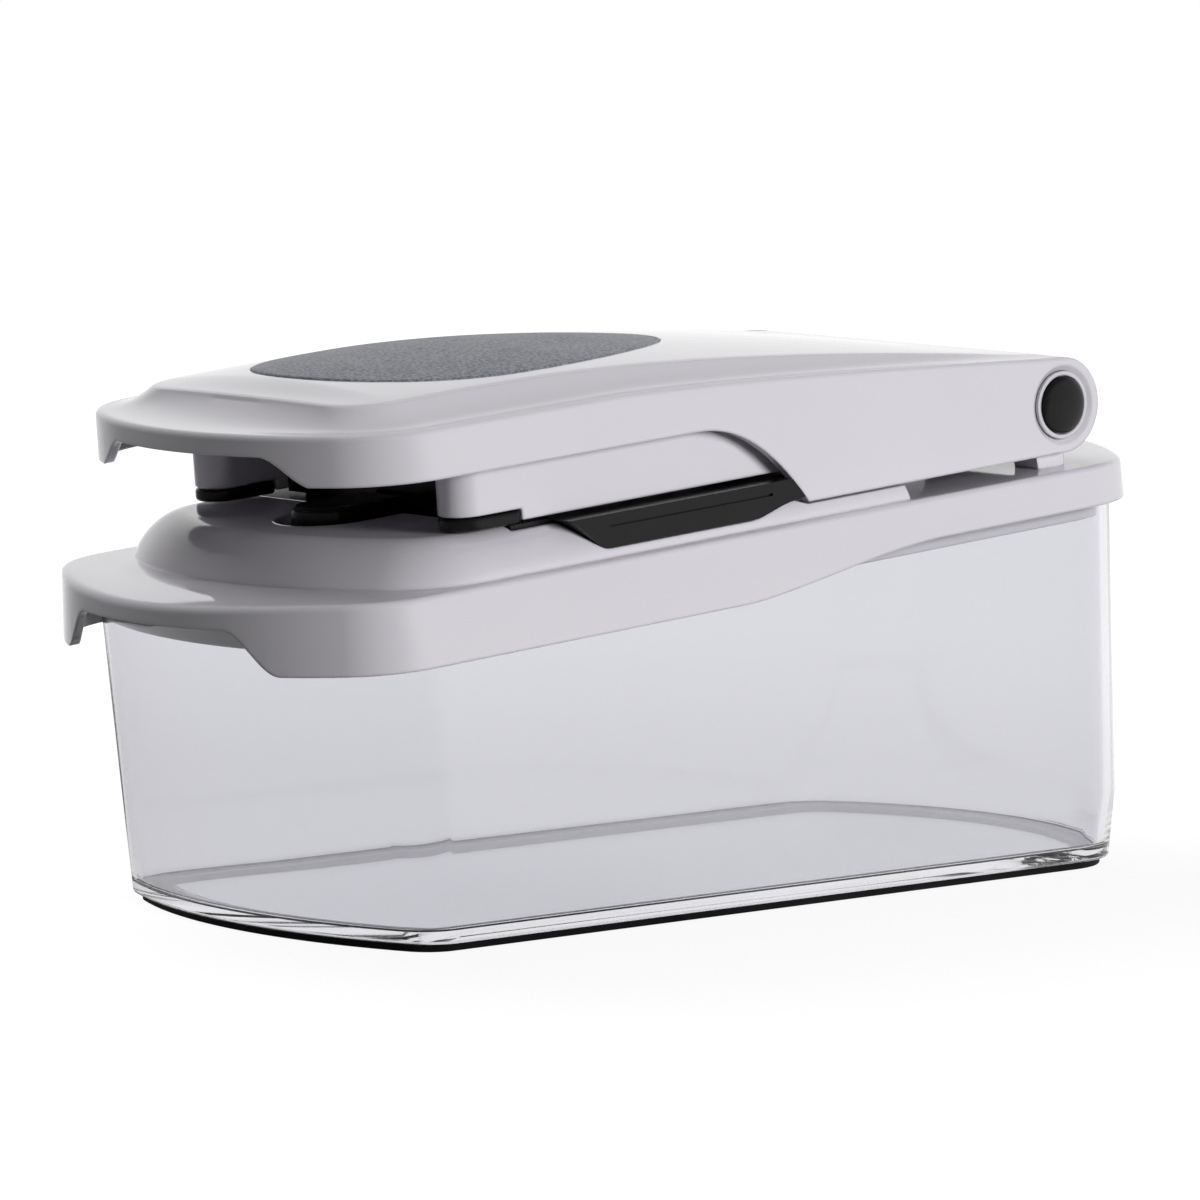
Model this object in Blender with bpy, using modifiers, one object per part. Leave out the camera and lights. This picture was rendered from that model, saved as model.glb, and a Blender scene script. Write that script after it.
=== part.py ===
"""Press-type vegetable chopper: a clear container, a sloping lid with a blade cassette,
and a hinged press arm whose pegs push food through the blade grid.

Units are metres, +Z is up, +X points to the hinge and -X to the lifting lips.
The lid and everything on it are modelled flat, in the lid's own plane, and hang from the
empty lid_plane, which slopes up towards the hinge. The press arm hangs from hinge_axis.
"""

import math

import bmesh
import bpy
from mathutils import Matrix, Vector

# Clearance between pieces that touch, and thickness of the moulded walls
GAP = 0.0003
WALL = 0.0024

# Container, seen from above and in height: its mouth drives the whole object's plan
TOP_FRONT = -0.1323
TOP_REAR = 0.1200
TOP_HALF_WIDTH = 0.0576
TOP_BOWS = (0.1225, 0.088)
TOP_CORNERS = (0.0212, 0.022)
FRONT_RAKE = 0.0115
REAR_RAKE = 0.0018
SIDE_RAKE = 0.0008
BASE_FRONT = TOP_FRONT + FRONT_RAKE
BASE_REAR = TOP_REAR + REAR_RAKE
BASE_HALF_WIDTH = TOP_HALF_WIDTH - SIDE_RAKE
BASE_BOWS = (0.1235, 0.0836)
BASE_CORNERS = (0.012, 0.019)
BELLY_SWELL_FRONT = 0.0020
BELLY_SWELL_REAR = 0.0017
BELLY_FRONT = BASE_FRONT - BELLY_SWELL_FRONT
BELLY_REAR = BASE_REAR + BELLY_SWELL_REAR
BELLY_HEIGHT = 0.0176
CONTAINER_WALL = 0.0025
FOOT_HEIGHT = 0.0019
FOOT_INSET = 0.0022
FOOT_WIDTH = 0.006
FOOT_SOCKET = 0.0008
FLOOR = 0.0027
BASE_EDGE = 0.0016

# Lid plane: its slope and its height above the table at mid length
LID_TILT = math.radians(4.65)
LID_HEIGHT = 0.0889

# Lid rim and plug skirt
RIM_LIP = 0.0149
RIM_OVERHANG_REAR = 0.0041
RIM_OVERHANG = 0.0035
RIM_FRONT = TOP_FRONT - RIM_LIP
RIM_REAR = TOP_REAR + RIM_OVERHANG_REAR
RIM_BOWS = (0.088, 0.088)
RIM_CORNERS = (0.022, 0.022)
RIM_TOP = 0.0005
RIM_ROUND = 0.0035
RIM_DRAFT = 0.0006
RIM_DROOP = 0.0016
RIM_DROOP_LENGTH = 0.0192
RIM_DROOP_START = RIM_FRONT + RIM_DROOP_LENGTH
RIM_DEPTH_FRONT = 0.0155
RIM_DEPTH_REAR = 0.009
RIM_SWEEP_START = -0.028
RIM_SWEEP_END = 0.042
PLUG_DEPTH = 0.0126
PLUG_WALL = 0.002
PLUG_CLEARANCE = 0.00045
RIM_NOTCH_DEPTH = 0.0055
NOTCH_HALF_WIDTH = 0.0235
NOTCH_SWEEP = 0.013

# Raised platform on the lid
DECK_HEIGHT = 0.0103
DECK_SETBACK = 0.0083
DECK_INSET = 0.0001
DECK_FRONT = TOP_FRONT + DECK_SETBACK
DECK_HALF_WIDTH = TOP_HALF_WIDTH - DECK_INSET
DECK_REAR = 0.064
DECK_SLOPE = 0.012
DECK_SLOPE_POWER = 0.75
DECK_BOW = 0.098
DECK_CORNER = 0.024
SHELF_HEIGHT = 0.0037
SHELF_END = 0.0335
TOE_HEIGHT = 0.005
TOE_FALL = 0.0035

# Width of the arm and, from it, the pusher's walls and the cells between them
ARM_INSET = 0.0021
ARM_HALF_WIDTH = TOP_HALF_WIDTH - ARM_INSET
PUSHER_CLEARANCE = 0.0025
PUSHER_WALL = 0.012
PUSHER_WALL_CENTRE = ARM_HALF_WIDTH - WALL - PUSHER_CLEARANCE - PUSHER_WALL / 2
CELLS_LONG = 5
CELLS_ACROSS = 6
PEG_MARGIN = 0.0011
CELL = 2 * (PUSHER_WALL_CENTRE - PUSHER_WALL / 2 - PEG_MARGIN) / CELLS_ACROSS

# Blade cassette and its blades
GRID_REAR = -0.0085
FRAME_BORDER = 0.0075
FRAME_SIDE = 0.0117
FRAME_REAR = 0.003
FRAME_HALF_WIDTH = CELLS_ACROSS * CELL / 2 + FRAME_SIDE
SHOULDER_GAP = 0.0005
SHOULDER_HALF_WIDTH = FRAME_HALF_WIDTH + SHOULDER_GAP
FRAME_TOP = 0.0103
FRAME_BOTTOM = 0.0027
GRIP_INSET = 0.0007
GRIP_HALF_WIDTH = DECK_HALF_WIDTH - GRIP_INSET
GRIP_FRONT = -0.072
GRIP_REAR = 0.0
GRIP_SWEEP = 0.011
GRIP_REAR_SWEEP = 0.015
BLADE_THICKNESS = 0.0005
BLADE_BOTTOM = 0.0046
BLADE_TOP = 0.0096
BLADE_ROOT = 0.003
TONGUE_LENGTH = 0.0215
TONGUE_HALF_WIDTH = 0.008
TONGUE_TOP = 0.0128
TONGUE_BOTTOM = 0.0076
TONGUE_RECESS = 0.004
TONGUE_ROUND = 0.001

# Hinge between lid and press arm
HINGE_X = 0.0854
HINGE_Z = 0.0153
ARM_END_RADIUS = 0.0113
POST_RADIUS = 0.0082
POST_WIDTH = 0.008
POST_NECK = 0.011
POST_SPREAD = 0.004
PIN_RADIUS = 0.0025
BUSH_RADIUS = 0.0055
BUSH_COLLAR = 0.0078
BUSH_FLANGE = 0.0087
FLANGE_THICKNESS = 0.0006
PIN_HEAD_RADIUS = 0.004
PIN_HEAD = 0.0012
CAP_SEAT = 0.0021
POST_WAY_ANGLE = math.radians(35)
CAP_RADIUS = 0.0067
CAP_DOME = 0.0009

# Press arm shell
ARM_OVERHANG = 0.0012
ARM_FRONT = TOP_FRONT - ARM_OVERHANG
ARM_BOW = 0.091
ARM_CORNER = 0.024
ARM_LIP_BOTTOM = 0.0246
ARM_NOTCH_TOP = 0.0312
SKIRT_LIFT = 0.0001
ARM_SKIRT_REAR = HINGE_Z - ARM_END_RADIUS + SKIRT_LIFT
ARM_ARCH_START = -0.028
ARM_ARCH_END = 0.0045
ARM_ARCH_POWER = 2.2
ARM_REAR_BOW = 3.0
ARM_EDGE_ROUND = 0.0024
ARM_ROOF = 0.0034
SHOULDER_HEIGHT = 0.0362
SHOULDER_FALL_START = -0.050
SHOULDER_FALL_POWER = 1.33
RIDGE_HEIGHT = 0.0412
RIDGE_FALL_START = -0.060
RIDGE_FALL_POWER = 1.6
RIDGE_SETBACK = 0.0205
RIDGE_FRONT = ARM_FRONT + RIDGE_SETBACK
COVE_WIDTH_FRONT = 0.0170
COVE_WIDTH_REAR = 0.0065
RIDGE_HALF_WIDTH_FRONT = ARM_HALF_WIDTH - COVE_WIDTH_FRONT
RIDGE_HALF_WIDTH_REAR = ARM_HALF_WIDTH - COVE_WIDTH_REAR
RIDGE_SPREAD_POWER = 1.5
RIDGE_CORNER = 0.012
RIDGE_BOW = 0.6
CROWN = 0.0028
DROOP = 0.0016
DROOP_START = -0.075
COVE = ((0.45, 0.17), (0.72, 0.42), (0.9, 0.74), (0.97, 0.93), (1.0, 1.0))

# Soft pad let into the arm
PAD_CENTRE = -0.048
PAD_HALF_LENGTH = 0.053
PAD_MARGIN = 0.0030
PAD_HALF_WIDTH = RIDGE_HALF_WIDTH_FRONT - PAD_MARGIN
PAD_TAPER = 0.26
PAD_RINGS = (0.2, 0.6, 1.0)
PAD_THICKNESS = 0.0014
PAD_PROUD = 0.0003
PAD_SWELL = 0.0012

# Pusher under the arm
PUSHER_REACH = 0.0227
PUSHER_FRONT = GRID_REAR - CELLS_LONG * CELL - PUSHER_REACH
PUSHER_REAR = 0.0
PUSHER_BOTTOM = 0.0113
PUSHER_TOP = 0.0295
PUSHER_ROOF = 0.003
PUSHER_REAR_WALL = 0.007
CAP_FOOT_LENGTH = 0.0174
CAP_FOOT_HEIGHT = 0.003
FOOT_ROUND = 0.0009
PEG_CLEARANCE = 0.0009
PEG_SIDE = CELL - BLADE_THICKNESS - 2 * PEG_CLEARANCE
PEG_TIP = 0.0055
PEG_PLATE = 0.0035
COMB_THICKNESS = 0.0023
COMB_CLEARANCE = 0.0004
COMB_APRON_BOTTOM = 0.0109
COMB_APRON = 0.002
BOSS_RADIUS = 0.0045

# How far a cutter reaches past the face it cuts, and past the whole piece
PAST = 0.001
FAR = 0.03

# Size of the empties as drawn
AXIS_SIZE = 0.02

# Fineness of arcs and sides
ARC_STEPS = 5
SIDE_STEPS = 8
DECK_STEPS = 5
ROUND_STEPS = 32
CROWN_STEPS = 8
SWEEP_STEPS = 8
NOSE_STEPS = 8
END_STEPS = 14
DOME_STEPS = 5

# Where a rounded edge's middle lies, as a share of its radius from either face
ROUND_SHARE = 0.293

# Colours as the photograph shows them, with roughness and metallic value
FINISHES = {
    "white_plastic": ((0.66, 0.65, 0.68), 0.22, 0.0),
    "clear_plastic": ((0.86, 0.88, 0.90), 0.05, 0.0),
    "black_plastic": ((0.02, 0.022, 0.022), 0.38, 0.0),
    "dark_rubber": ((0.018, 0.018, 0.02), 0.7, 0.0),
    "grey_soft_touch": ((0.16, 0.17, 0.19), 0.8, 0.0),
    "stainless_steel": ((0.62, 0.62, 0.61), 0.25, 1.0),
}

CLEAR_INDEX = 1.49
MOUTH = RIM_TOP - WALL - 1.5 * GAP
HINGE = Vector((HINGE_X, 0.0, HINGE_Z))
LID_PLACE = Matrix.Translation((0.0, 0.0, LID_HEIGHT)) @ Matrix.Rotation(-LID_TILT, 4, "Y")


def clear_scene():
    """Remove whatever the scene holds."""
    for item in list(bpy.data.objects):
        bpy.data.objects.remove(item, do_unlink=True)
    for group in list(bpy.data.collections):
        bpy.data.collections.remove(group)


def new_collection(name):
    """Make a collection in the scene."""
    group = bpy.data.collections.new(name)
    bpy.context.scene.collection.children.link(group)
    return group


def new_empty(name, group, parent=None):
    """Make an empty, for a frame or an axis that pieces hang from."""
    empty = bpy.data.objects.new(name, None)
    empty.empty_display_size = AXIS_SIZE
    empty.parent = parent
    group.objects.link(empty)
    return empty


clear_scene()
PARTS = new_collection("vegetable_chopper")
CUTTERS = new_collection("cutters")
TABLE = new_empty("table_centre", PARTS)
LID = new_empty("lid_plane", PARTS, TABLE)
LID.matrix_local = LID_PLACE
AXIS = new_empty("hinge_axis", PARTS, LID)
AXIS.location = HINGE


def finish(name):
    """Give the named finish as a material, made once."""
    material = bpy.data.materials.get(name)
    if material:
        return material
    colour, roughness, metallic = FINISHES[name]
    material = bpy.data.materials.new(name)
    material.use_nodes = True
    surface = material.node_tree.nodes["Principled BSDF"]
    surface.inputs["Base Color"].default_value = (*colour, 1.0)
    surface.inputs["Roughness"].default_value = roughness
    surface.inputs["Metallic"].default_value = metallic
    if name == "clear_plastic":
        surface.inputs["Transmission Weight"].default_value = 1.0
        surface.inputs["IOR"].default_value = CLEAR_INDEX
    return material


def add_object(name, mesh, group, parent):
    """Put a mesh, whose points are in the parent's lid or table frame, under its parent."""
    if parent is AXIS:
        mesh.transform(Matrix.Translation(-HINGE))
    item = bpy.data.objects.new(name, mesh)
    item.parent = parent
    group.objects.link(item)
    return item


def add_part(name, mesh, parent, look):
    """Add a sub-part with its finish, smooth but for its sharp edges."""
    mesh.materials.append(finish(look))
    mesh.shade_smooth()
    mesh.set_sharp_from_angle(angle=math.radians(35))
    return add_object(name, mesh, PARTS, parent)


def add_cutter(name, mesh, parent):
    """Add a shape that only cuts or joins others."""
    cutter = add_object(name, mesh, CUTTERS, parent)
    cutter.hide_render = True
    cutter.display_type = "WIRE"
    return cutter


def combine(item, tool, operation="DIFFERENCE"):
    """Cut, join or intersect an object with another."""
    boolean = item.modifiers.new(tool.name, "BOOLEAN")
    boolean.operation = operation
    boolean.solver = "EXACT"
    boolean.object = tool
    return item


def bevel(item, width, segments=2, angle=35):
    """Round the sharp edges of an object."""
    rounding = item.modifiers.new("rounding", "BEVEL")
    rounding.width = width
    rounding.segments = segments
    rounding.limit_method = "ANGLE"
    rounding.angle_limit = math.radians(angle)
    return item


def mesh_from(bm, name):
    """Turn a bmesh into a mesh whose faces point outwards."""
    bmesh.ops.recalc_face_normals(bm, faces=bm.faces)
    mesh = bpy.data.meshes.new(name)
    bm.to_mesh(mesh)
    bm.free()
    return mesh


def box(name, low, high):
    """A box between two corners."""
    bm = bmesh.new()
    bmesh.ops.create_cube(bm, size=1.0)
    low, high = Vector(low), Vector(high)
    bmesh.ops.scale(bm, verts=bm.verts, vec=high - low)
    bmesh.ops.translate(bm, verts=bm.verts, vec=(low + high) / 2)
    return mesh_from(bm, name)


def prism(name, outline, start, end, axis="z"):
    """A flat outline drawn out along an axis: (x, y) along z, (x, z) along y, (y, z) along x."""
    place = {
        "z": lambda u, v, w: (u, v, w),
        "y": lambda u, v, w: (u, w, v),
        "x": lambda u, v, w: (w, u, v),
    }[axis]
    bm = bmesh.new()
    face = bm.faces.new([bm.verts.new(place(u, v, start)) for u, v in outline])
    drawn = bmesh.ops.extrude_face_region(bm, geom=[face])
    moved = [g for g in drawn["geom"] if isinstance(g, bmesh.types.BMVert)]
    bmesh.ops.translate(bm, verts=moved, vec=place(0.0, 0.0, end - start))
    return mesh_from(bm, name)


def turned(name, profile, centre, side, closed=False):
    """A round piece about the hinge direction from (radius, y) points; side -1 mirrors it."""
    rings = []
    for radius, y in profile:
        rings.append([
            (
                centre.x + radius * math.cos(2 * math.pi * k / ROUND_STEPS),
                side * y,
                centre.z + radius * math.sin(2 * math.pi * k / ROUND_STEPS),
            )
            for k in range(ROUND_STEPS)
        ])
    return lofted(name, rings, closed)


def lofted(name, rings, closed=False):
    """Skin a row of rings with equal counts, with flat caps or, if closed, back to the first."""
    bm = bmesh.new()
    loops = [[bm.verts.new(point) for point in ring] for ring in rings]
    pairs = list(zip(loops, loops[1:]))
    if closed:
        pairs.append((loops[-1], loops[0]))
    for lower, upper in pairs:
        for i in range(len(lower)):
            j = (i + 1) % len(lower)
            bm.faces.new((lower[i], lower[j], upper[j], upper[i]))
    if not closed:
        bm.faces.new(loops[0])
        bm.faces.new(loops[-1])
    return mesh_from(bm, name)


def ease(value):
    """A smooth step from 0 to 1."""
    value = min(max(value, 0.0), 1.0)
    return value * value * (3 - 2 * value)


def mix(a, b, share):
    """The value that lies a share of the way from a to b."""
    return a + (b - a) * share


def arc(centre, radius, start, end, steps):
    """Points on an arc, angles in radians."""
    return [
        (
            centre[0] + radius * math.cos(mix(start, end, k / steps)),
            centre[1] + radius * math.sin(mix(start, end, k / steps)),
        )
        for k in range(steps + 1)
    ]


def bowed_end(end, bow, corner, half_width, facing):
    """Half of a bowed end, from its middle to the +Y side: a shallow arc, then a corner arc."""
    reach = half_width - corner
    drop = math.sqrt((bow - corner) ** 2 - reach ** 2)
    centre = (end - facing * bow, 0.0)
    turn = math.atan2(reach, drop)
    start = 0.0 if facing > 0 else math.pi
    meet = turn if facing > 0 else math.pi - turn
    points = arc(centre, bow, start, meet, ARC_STEPS)
    turn_centre = (centre[0] + facing * drop, reach)
    return points + arc(turn_centre, corner, meet, math.pi / 2, ARC_STEPS)[1:]


def bowed_outline(front, rear, half_width, bows, corners, inset=0.0):
    """A plan outline with bowed ends, rounded corners and straight sides, from the front
    centre round the +Y side to the rear centre and back. Its points are in the same order
    for any sizes, so that outlines can be skinned to each other. bows and corners are the
    front and rear radii."""
    half_width -= inset
    corners = [max(corner - inset, GAP) for corner in corners]
    half = bowed_end(front + inset, bows[0] - inset, corners[0], half_width, -1)
    rear_half = bowed_end(rear - inset, bows[1] - inset, corners[1], half_width, 1)
    side_start, side_end = half[-1][0], rear_half[-1][0]
    for k in range(1, SIDE_STEPS):
        half.append((mix(side_start, side_end, k / SIDE_STEPS), half_width))
    half += reversed(rear_half)
    other = [(x, -y) for x, y in reversed(half[1:-1])]
    return half + other


def at_height(outline, height):
    """Lift a plan outline to a height, which may be a function of x."""
    if callable(height):
        return [(x, y, height(x)) for x, y in outline]
    return [(x, y, height) for x, y in outline]


def on_lid(outline, height):
    """Place a plan outline of the lid plane in the table frame."""
    return [tuple(LID_PLACE @ Vector(point)) for point in at_height(outline, height)]


def base_outline(inset=0.0):
    """The container's plan at its foot."""
    return bowed_outline(BASE_FRONT, BASE_REAR, BASE_HALF_WIDTH, BASE_BOWS, BASE_CORNERS, inset)


def belly_outline(inset=0.0):
    """The container's plan where it is longest, a little above its foot."""
    return bowed_outline(BELLY_FRONT, BELLY_REAR, BASE_HALF_WIDTH, BASE_BOWS, BASE_CORNERS, inset)


def top_outline(inset=0.0):
    """The container's plan at its mouth, in the lid plane."""
    return bowed_outline(TOP_FRONT, TOP_REAR, TOP_HALF_WIDTH, TOP_BOWS, TOP_CORNERS, inset)


def rim_outline(inset=0.0):
    """The lid's plan: close round the container but for the lip that reaches out in front."""
    half_width = TOP_HALF_WIDTH + RIM_OVERHANG
    return bowed_outline(RIM_FRONT, RIM_REAR, half_width, RIM_BOWS, RIM_CORNERS, inset)


def wall_section(inset, height):
    """The container wall's plan at a height of the lid plane, between its mouth and belly."""
    to_lid = LID_PLACE.inverted()
    ring = []
    for (x, y), low in zip(top_outline(inset), belly_outline(inset)):
        low = to_lid @ Vector((*low, BELLY_HEIGHT))
        share = (height - MOUTH) / (low.z - MOUTH)
        ring.append((mix(x, low.x, share), mix(y, low.y, share), height))
    return ring


def build_container():
    """The clear container: drafted bowed walls between a level floor and a sloping mouth."""
    floor_top = FOOT_HEIGHT + FLOOR
    turn = BASE_EDGE * ROUND_SHARE
    outer = [
        at_height(base_outline(BASE_EDGE), FOOT_HEIGHT),
        at_height(base_outline(turn), FOOT_HEIGHT + turn),
        at_height(base_outline(), FOOT_HEIGHT + BASE_EDGE),
        at_height(belly_outline(), BELLY_HEIGHT),
        on_lid(top_outline(), MOUTH),
    ]
    wall = CONTAINER_WALL
    inner = [
        on_lid(top_outline(wall), MOUTH),
        at_height(belly_outline(wall), BELLY_HEIGHT),
        at_height(base_outline(wall), floor_top + BASE_EDGE),
        at_height(base_outline(wall + BASE_EDGE), floor_top),
    ]
    container = add_part("container", lofted("container", outer + inner), TABLE, "clear_plastic")
    groove = foot_ring_mesh("foot_groove", GAP, FOOT_SOCKET + GAP)
    return combine(container, add_cutter("foot_groove", groove, TABLE))


def foot_ring_mesh(name, spread, above):
    """The foot ring's solid, spread sideways and reaching some way above the container's base."""
    rings = [
        at_height(base_outline(FOOT_INSET - spread), 0.0),
        at_height(base_outline(FOOT_INSET - spread), FOOT_HEIGHT + above),
        at_height(base_outline(FOOT_INSET + FOOT_WIDTH + spread), FOOT_HEIGHT + above),
        at_height(base_outline(FOOT_INSET + FOOT_WIDTH + spread), 0.0),
    ]
    return lofted(name, rings, closed=True)


def build_foot_ring():
    """The dark non-slip ring let into the underside of the container."""
    mesh = foot_ring_mesh("foot_ring", 0.0, FOOT_SOCKET)
    return add_part("foot_ring", mesh, TABLE, "dark_rubber")


def sweep(start, end):
    """Points on a smooth S between two points of a profile, both ends left out."""
    shares = [k / SWEEP_STEPS for k in range(1, SWEEP_STEPS)]
    return [(mix(start[0], end[0], share), mix(start[1], end[1], ease(share))) for share in shares]


def notch_profile(top, bottom):
    """A lifting notch seen from the front: flat top, S-shaped flanks and open below."""
    edge, foot = NOTCH_HALF_WIDTH, NOTCH_HALF_WIDTH + NOTCH_SWEEP
    flank = [(edge, top)] + sweep((edge, top), (foot, bottom)) + [(foot, bottom)]
    flank.append((foot, bottom - FAR))
    return flank + [(-y, z) for y, z in reversed(flank)]


def rim_top(x, below=0.0):
    """Height of the rim's top, which bends down at the lip, or of a level below it."""
    share = max(0.0, (RIM_DROOP_START - x) / (RIM_DROOP_START - RIM_FRONT))
    return RIM_TOP - RIM_DROOP * share ** 2 - below


def build_lid_frame():
    """The lid: rim with lifting lip, plug skirt, raised platform, cassette pocket and posts."""
    turn = RIM_ROUND * ROUND_SHARE
    outer = [
        at_height(rim_outline(), -RIM_DEPTH_FRONT),
        at_height(rim_outline(RIM_DRAFT), lambda x: rim_top(x, RIM_ROUND)),
        at_height(rim_outline(RIM_DRAFT + turn), lambda x: rim_top(x, turn)),
        at_height(rim_outline(RIM_DRAFT + RIM_ROUND), rim_top),
    ]
    plate = crowned_loft("lid_frame", outer, lambda x, y: rim_top(x))
    lid = add_part("lid_frame", plate, LID, "white_plastic")
    combine(lid, platform_solid(), "UNION")
    for name, mesh in hinge_posts():
        combine(lid, add_cutter(name, mesh, LID), "UNION")
    combine(lid, rim_sweep_cutter())
    combine(lid, under_rim_hollow())
    combine(lid, plug_hollow())
    lip_notch = prism("rim_notch", notch_profile(-RIM_NOTCH_DEPTH, -RIM_DEPTH_FRONT),
                      RIM_FRONT - WALL, TOP_FRONT - WALL, "x")
    combine(lid, add_cutter("rim_notch", lip_notch, LID))
    front_roof = TONGUE_BOTTOM - GAP - WALL
    combine(lid, platform_hollow("front_hollow", DECK_FRONT, pocket_end(-1) - WALL, front_roof))
    rear_start, rear_roof = pocket_end(1) + WALL, DECK_HEIGHT - WALL
    combine(lid, platform_hollow("rear_hollow", rear_start, DECK_REAR, rear_roof))
    for side in (-1, 1):
        combine(lid, add_cutter(f"shoulder_{side}", shoulder_mesh(side), LID))
    combine(lid, add_cutter("cassette_pocket", cassette_pocket_mesh(), LID))
    combine(lid, add_cutter("food_opening", food_opening_mesh(), LID))
    combine(lid, add_cutter("tongue_recess", tongue_recess_mesh(), LID))
    for side in (-1, 1):
        bore = turned(f"post_bore_{side}", [
            (BUSH_RADIUS + GAP, post_inner() - PAST),
            (BUSH_RADIUS + GAP, post_outer() + PAST),
        ], HINGE, side)
        combine(lid, add_cutter(f"post_bore_{side}", bore, LID))
    return lid


def grid_front():
    """Front end of the blade window."""
    return GRID_REAR - CELLS_LONG * CELL


def grid_half_width():
    """Half the width of the blade window."""
    return CELLS_ACROSS * CELL / 2


def platform_outline(inset=0.0):
    """The platform's plan on the lid."""
    bows, corners = (DECK_BOW, DECK_BOW), (DECK_CORNER, DECK_CORNER)
    return bowed_outline(DECK_FRONT, DECK_REAR, DECK_HALF_WIDTH, bows, corners, inset)


def platform_solid():
    """The platform with its swept front and rounded edge, still solid."""
    rings = [at_height(platform_outline(), RIM_TOP - WALL / 2)]
    for k in range(DECK_STEPS + 1):
        angle = math.pi / 2 * k / DECK_STEPS
        inset = DECK_SLOPE * (1 - math.cos(angle)) ** DECK_SLOPE_POWER
        rings.append(at_height(platform_outline(inset), mix(RIM_TOP, DECK_HEIGHT, math.sin(angle))))
    return add_cutter("platform", lofted("platform", rings), LID)


def platform_hollow(name, start, end, roof):
    """The space under the platform, up to a roof, in front of the cassette pocket or behind."""
    hollow = lofted(name, [
        at_height(platform_outline(WALL + DECK_SLOPE / 2), RIM_TOP - 2 * WALL),
        at_height(platform_outline(WALL + DECK_SLOPE), roof),
    ])
    cutter = add_cutter(name, hollow, LID)
    half = SHOULDER_HALF_WIDTH - WALL
    keep = box(f"{name}_extent", (start, -half, -RIM_DEPTH_FRONT), (end, half, RIM_DEPTH_FRONT))
    return combine(cutter, add_cutter(f"{name}_extent", keep, LID), "INTERSECT")


def pocket_end(facing):
    """The front or rear end of the cassette pocket."""
    end = FRAME_REAR if facing > 0 else grid_front() - FRAME_BORDER
    return end + facing * 2 * GAP


def under_rim_hollow():
    """The space between the rim's skirt and the plug skirt, where the container's wall sits."""
    inset = CONTAINER_WALL + PLUG_CLEARANCE
    open_end = -RIM_DEPTH_FRONT - WALL
    rings = [
        at_height(rim_outline(WALL), open_end),
        at_height(rim_outline(WALL), lambda x: rim_top(x, WALL)),
        wall_section(inset, RIM_TOP - WALL),
        wall_section(inset, open_end),
    ]
    return add_cutter("under_rim", lofted("under_rim", rings, closed=True), LID)


def plug_hollow():
    """The space inside the plug skirt, and all below the skirt's edge."""
    outer = CONTAINER_WALL + PLUG_CLEARANCE - WALL
    inner = CONTAINER_WALL + PLUG_CLEARANCE + PLUG_WALL
    rings = [
        wall_section(outer, -RIM_DEPTH_FRONT - WALL),
        wall_section(outer, -PLUG_DEPTH),
        wall_section(inner, -PLUG_DEPTH),
        wall_section(inner, RIM_TOP - WALL),
    ]
    return add_cutter("inside_plug", lofted("inside_plug", rings), LID)


def rim_sweep_cutter():
    """What is cut off the outer skirt so that it gets shallower towards the hinge."""
    start = (RIM_SWEEP_START, -RIM_DEPTH_FRONT - GAP)
    end = (RIM_SWEEP_END, -RIM_DEPTH_REAR)
    behind, under = RIM_REAR + FAR, -RIM_DEPTH_FRONT - FAR
    profile = [start] + sweep(start, end) + [end, (behind, end[1]), (behind, under), (start[0], under)]
    width = 2 * TOP_HALF_WIDTH
    cutter = add_cutter("rim_sweep", prism("rim_sweep", profile, -width, width, "y"), LID)
    depth = 2 * RIM_DEPTH_FRONT
    inside = top_outline(GAP)
    core = lofted("plug_core", [at_height(inside, -depth), at_height(inside, depth)])
    return combine(cutter, add_cutter("plug_core", core, LID))


def shoulder_mesh(side):
    """What is cut off one side of the platform: a scallop for the cassette's grip, then the
    shelf under the arm's skirt, then the ledge."""
    high = DECK_HEIGHT + FAR
    floor = FRAME_BOTTOM - GAP
    front = (GRIP_FRONT - GAP, DECK_HEIGHT + GAP)
    low = (GRIP_FRONT + GRIP_SWEEP - GAP, floor)
    profile = [(front[0], high), front] + sweep(front, low) + [low]
    rise = ((GRIP_REAR - GRIP_REAR_SWEEP, floor), (GRIP_REAR, TOE_HEIGHT))
    profile += [rise[0]] + sweep(*rise) + [rise[1]]
    profile += [(GRIP_REAR + TOE_FALL, SHELF_HEIGHT), (SHELF_END, SHELF_HEIGHT)]
    end = DECK_REAR + DECK_CORNER
    profile += [(SHELF_END + GAP, RIM_TOP), (end, RIM_TOP), (end, high)]
    start, end = side * SHOULDER_HALF_WIDTH, side * 2 * DECK_HALF_WIDTH
    return prism(f"shoulder_{side}", profile, start, end, "y")


def cassette_pocket_mesh():
    """The pocket that the blade cassette drops into."""
    grow = 2 * GAP
    low = (pocket_end(-1), -FRAME_HALF_WIDTH - grow, FRAME_BOTTOM - GAP)
    high = (pocket_end(1), FRAME_HALF_WIDTH + grow, DECK_HEIGHT + FAR)
    return box("cassette_pocket", low, high)


def food_opening_mesh():
    """The way down into the container under the blades."""
    low = (grid_front(), -grid_half_width(), -FAR)
    high = (GRID_REAR, grid_half_width(), DECK_HEIGHT)
    return box("food_opening", low, high)


def tongue_outline(grow):
    """The cassette's lifting tongue seen from above, round at its front."""
    rear = grid_front() - FRAME_BORDER
    radius = TONGUE_HALF_WIDTH + grow
    centre = (rear - TONGUE_LENGTH + TONGUE_HALF_WIDTH, 0.0)
    root = rear + FRAME_BORDER / 3
    nose = arc(centre, radius, 1.5 * math.pi, 0.5 * math.pi, NOSE_STEPS)
    return [(root, -radius)] + nose + [(root, radius)]


def tongue_recess_mesh():
    """The finger recess round the tongue."""
    return prism("tongue_recess", tongue_outline(TONGUE_RECESS), TONGUE_BOTTOM - GAP, DECK_HEIGHT + FAR)


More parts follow.
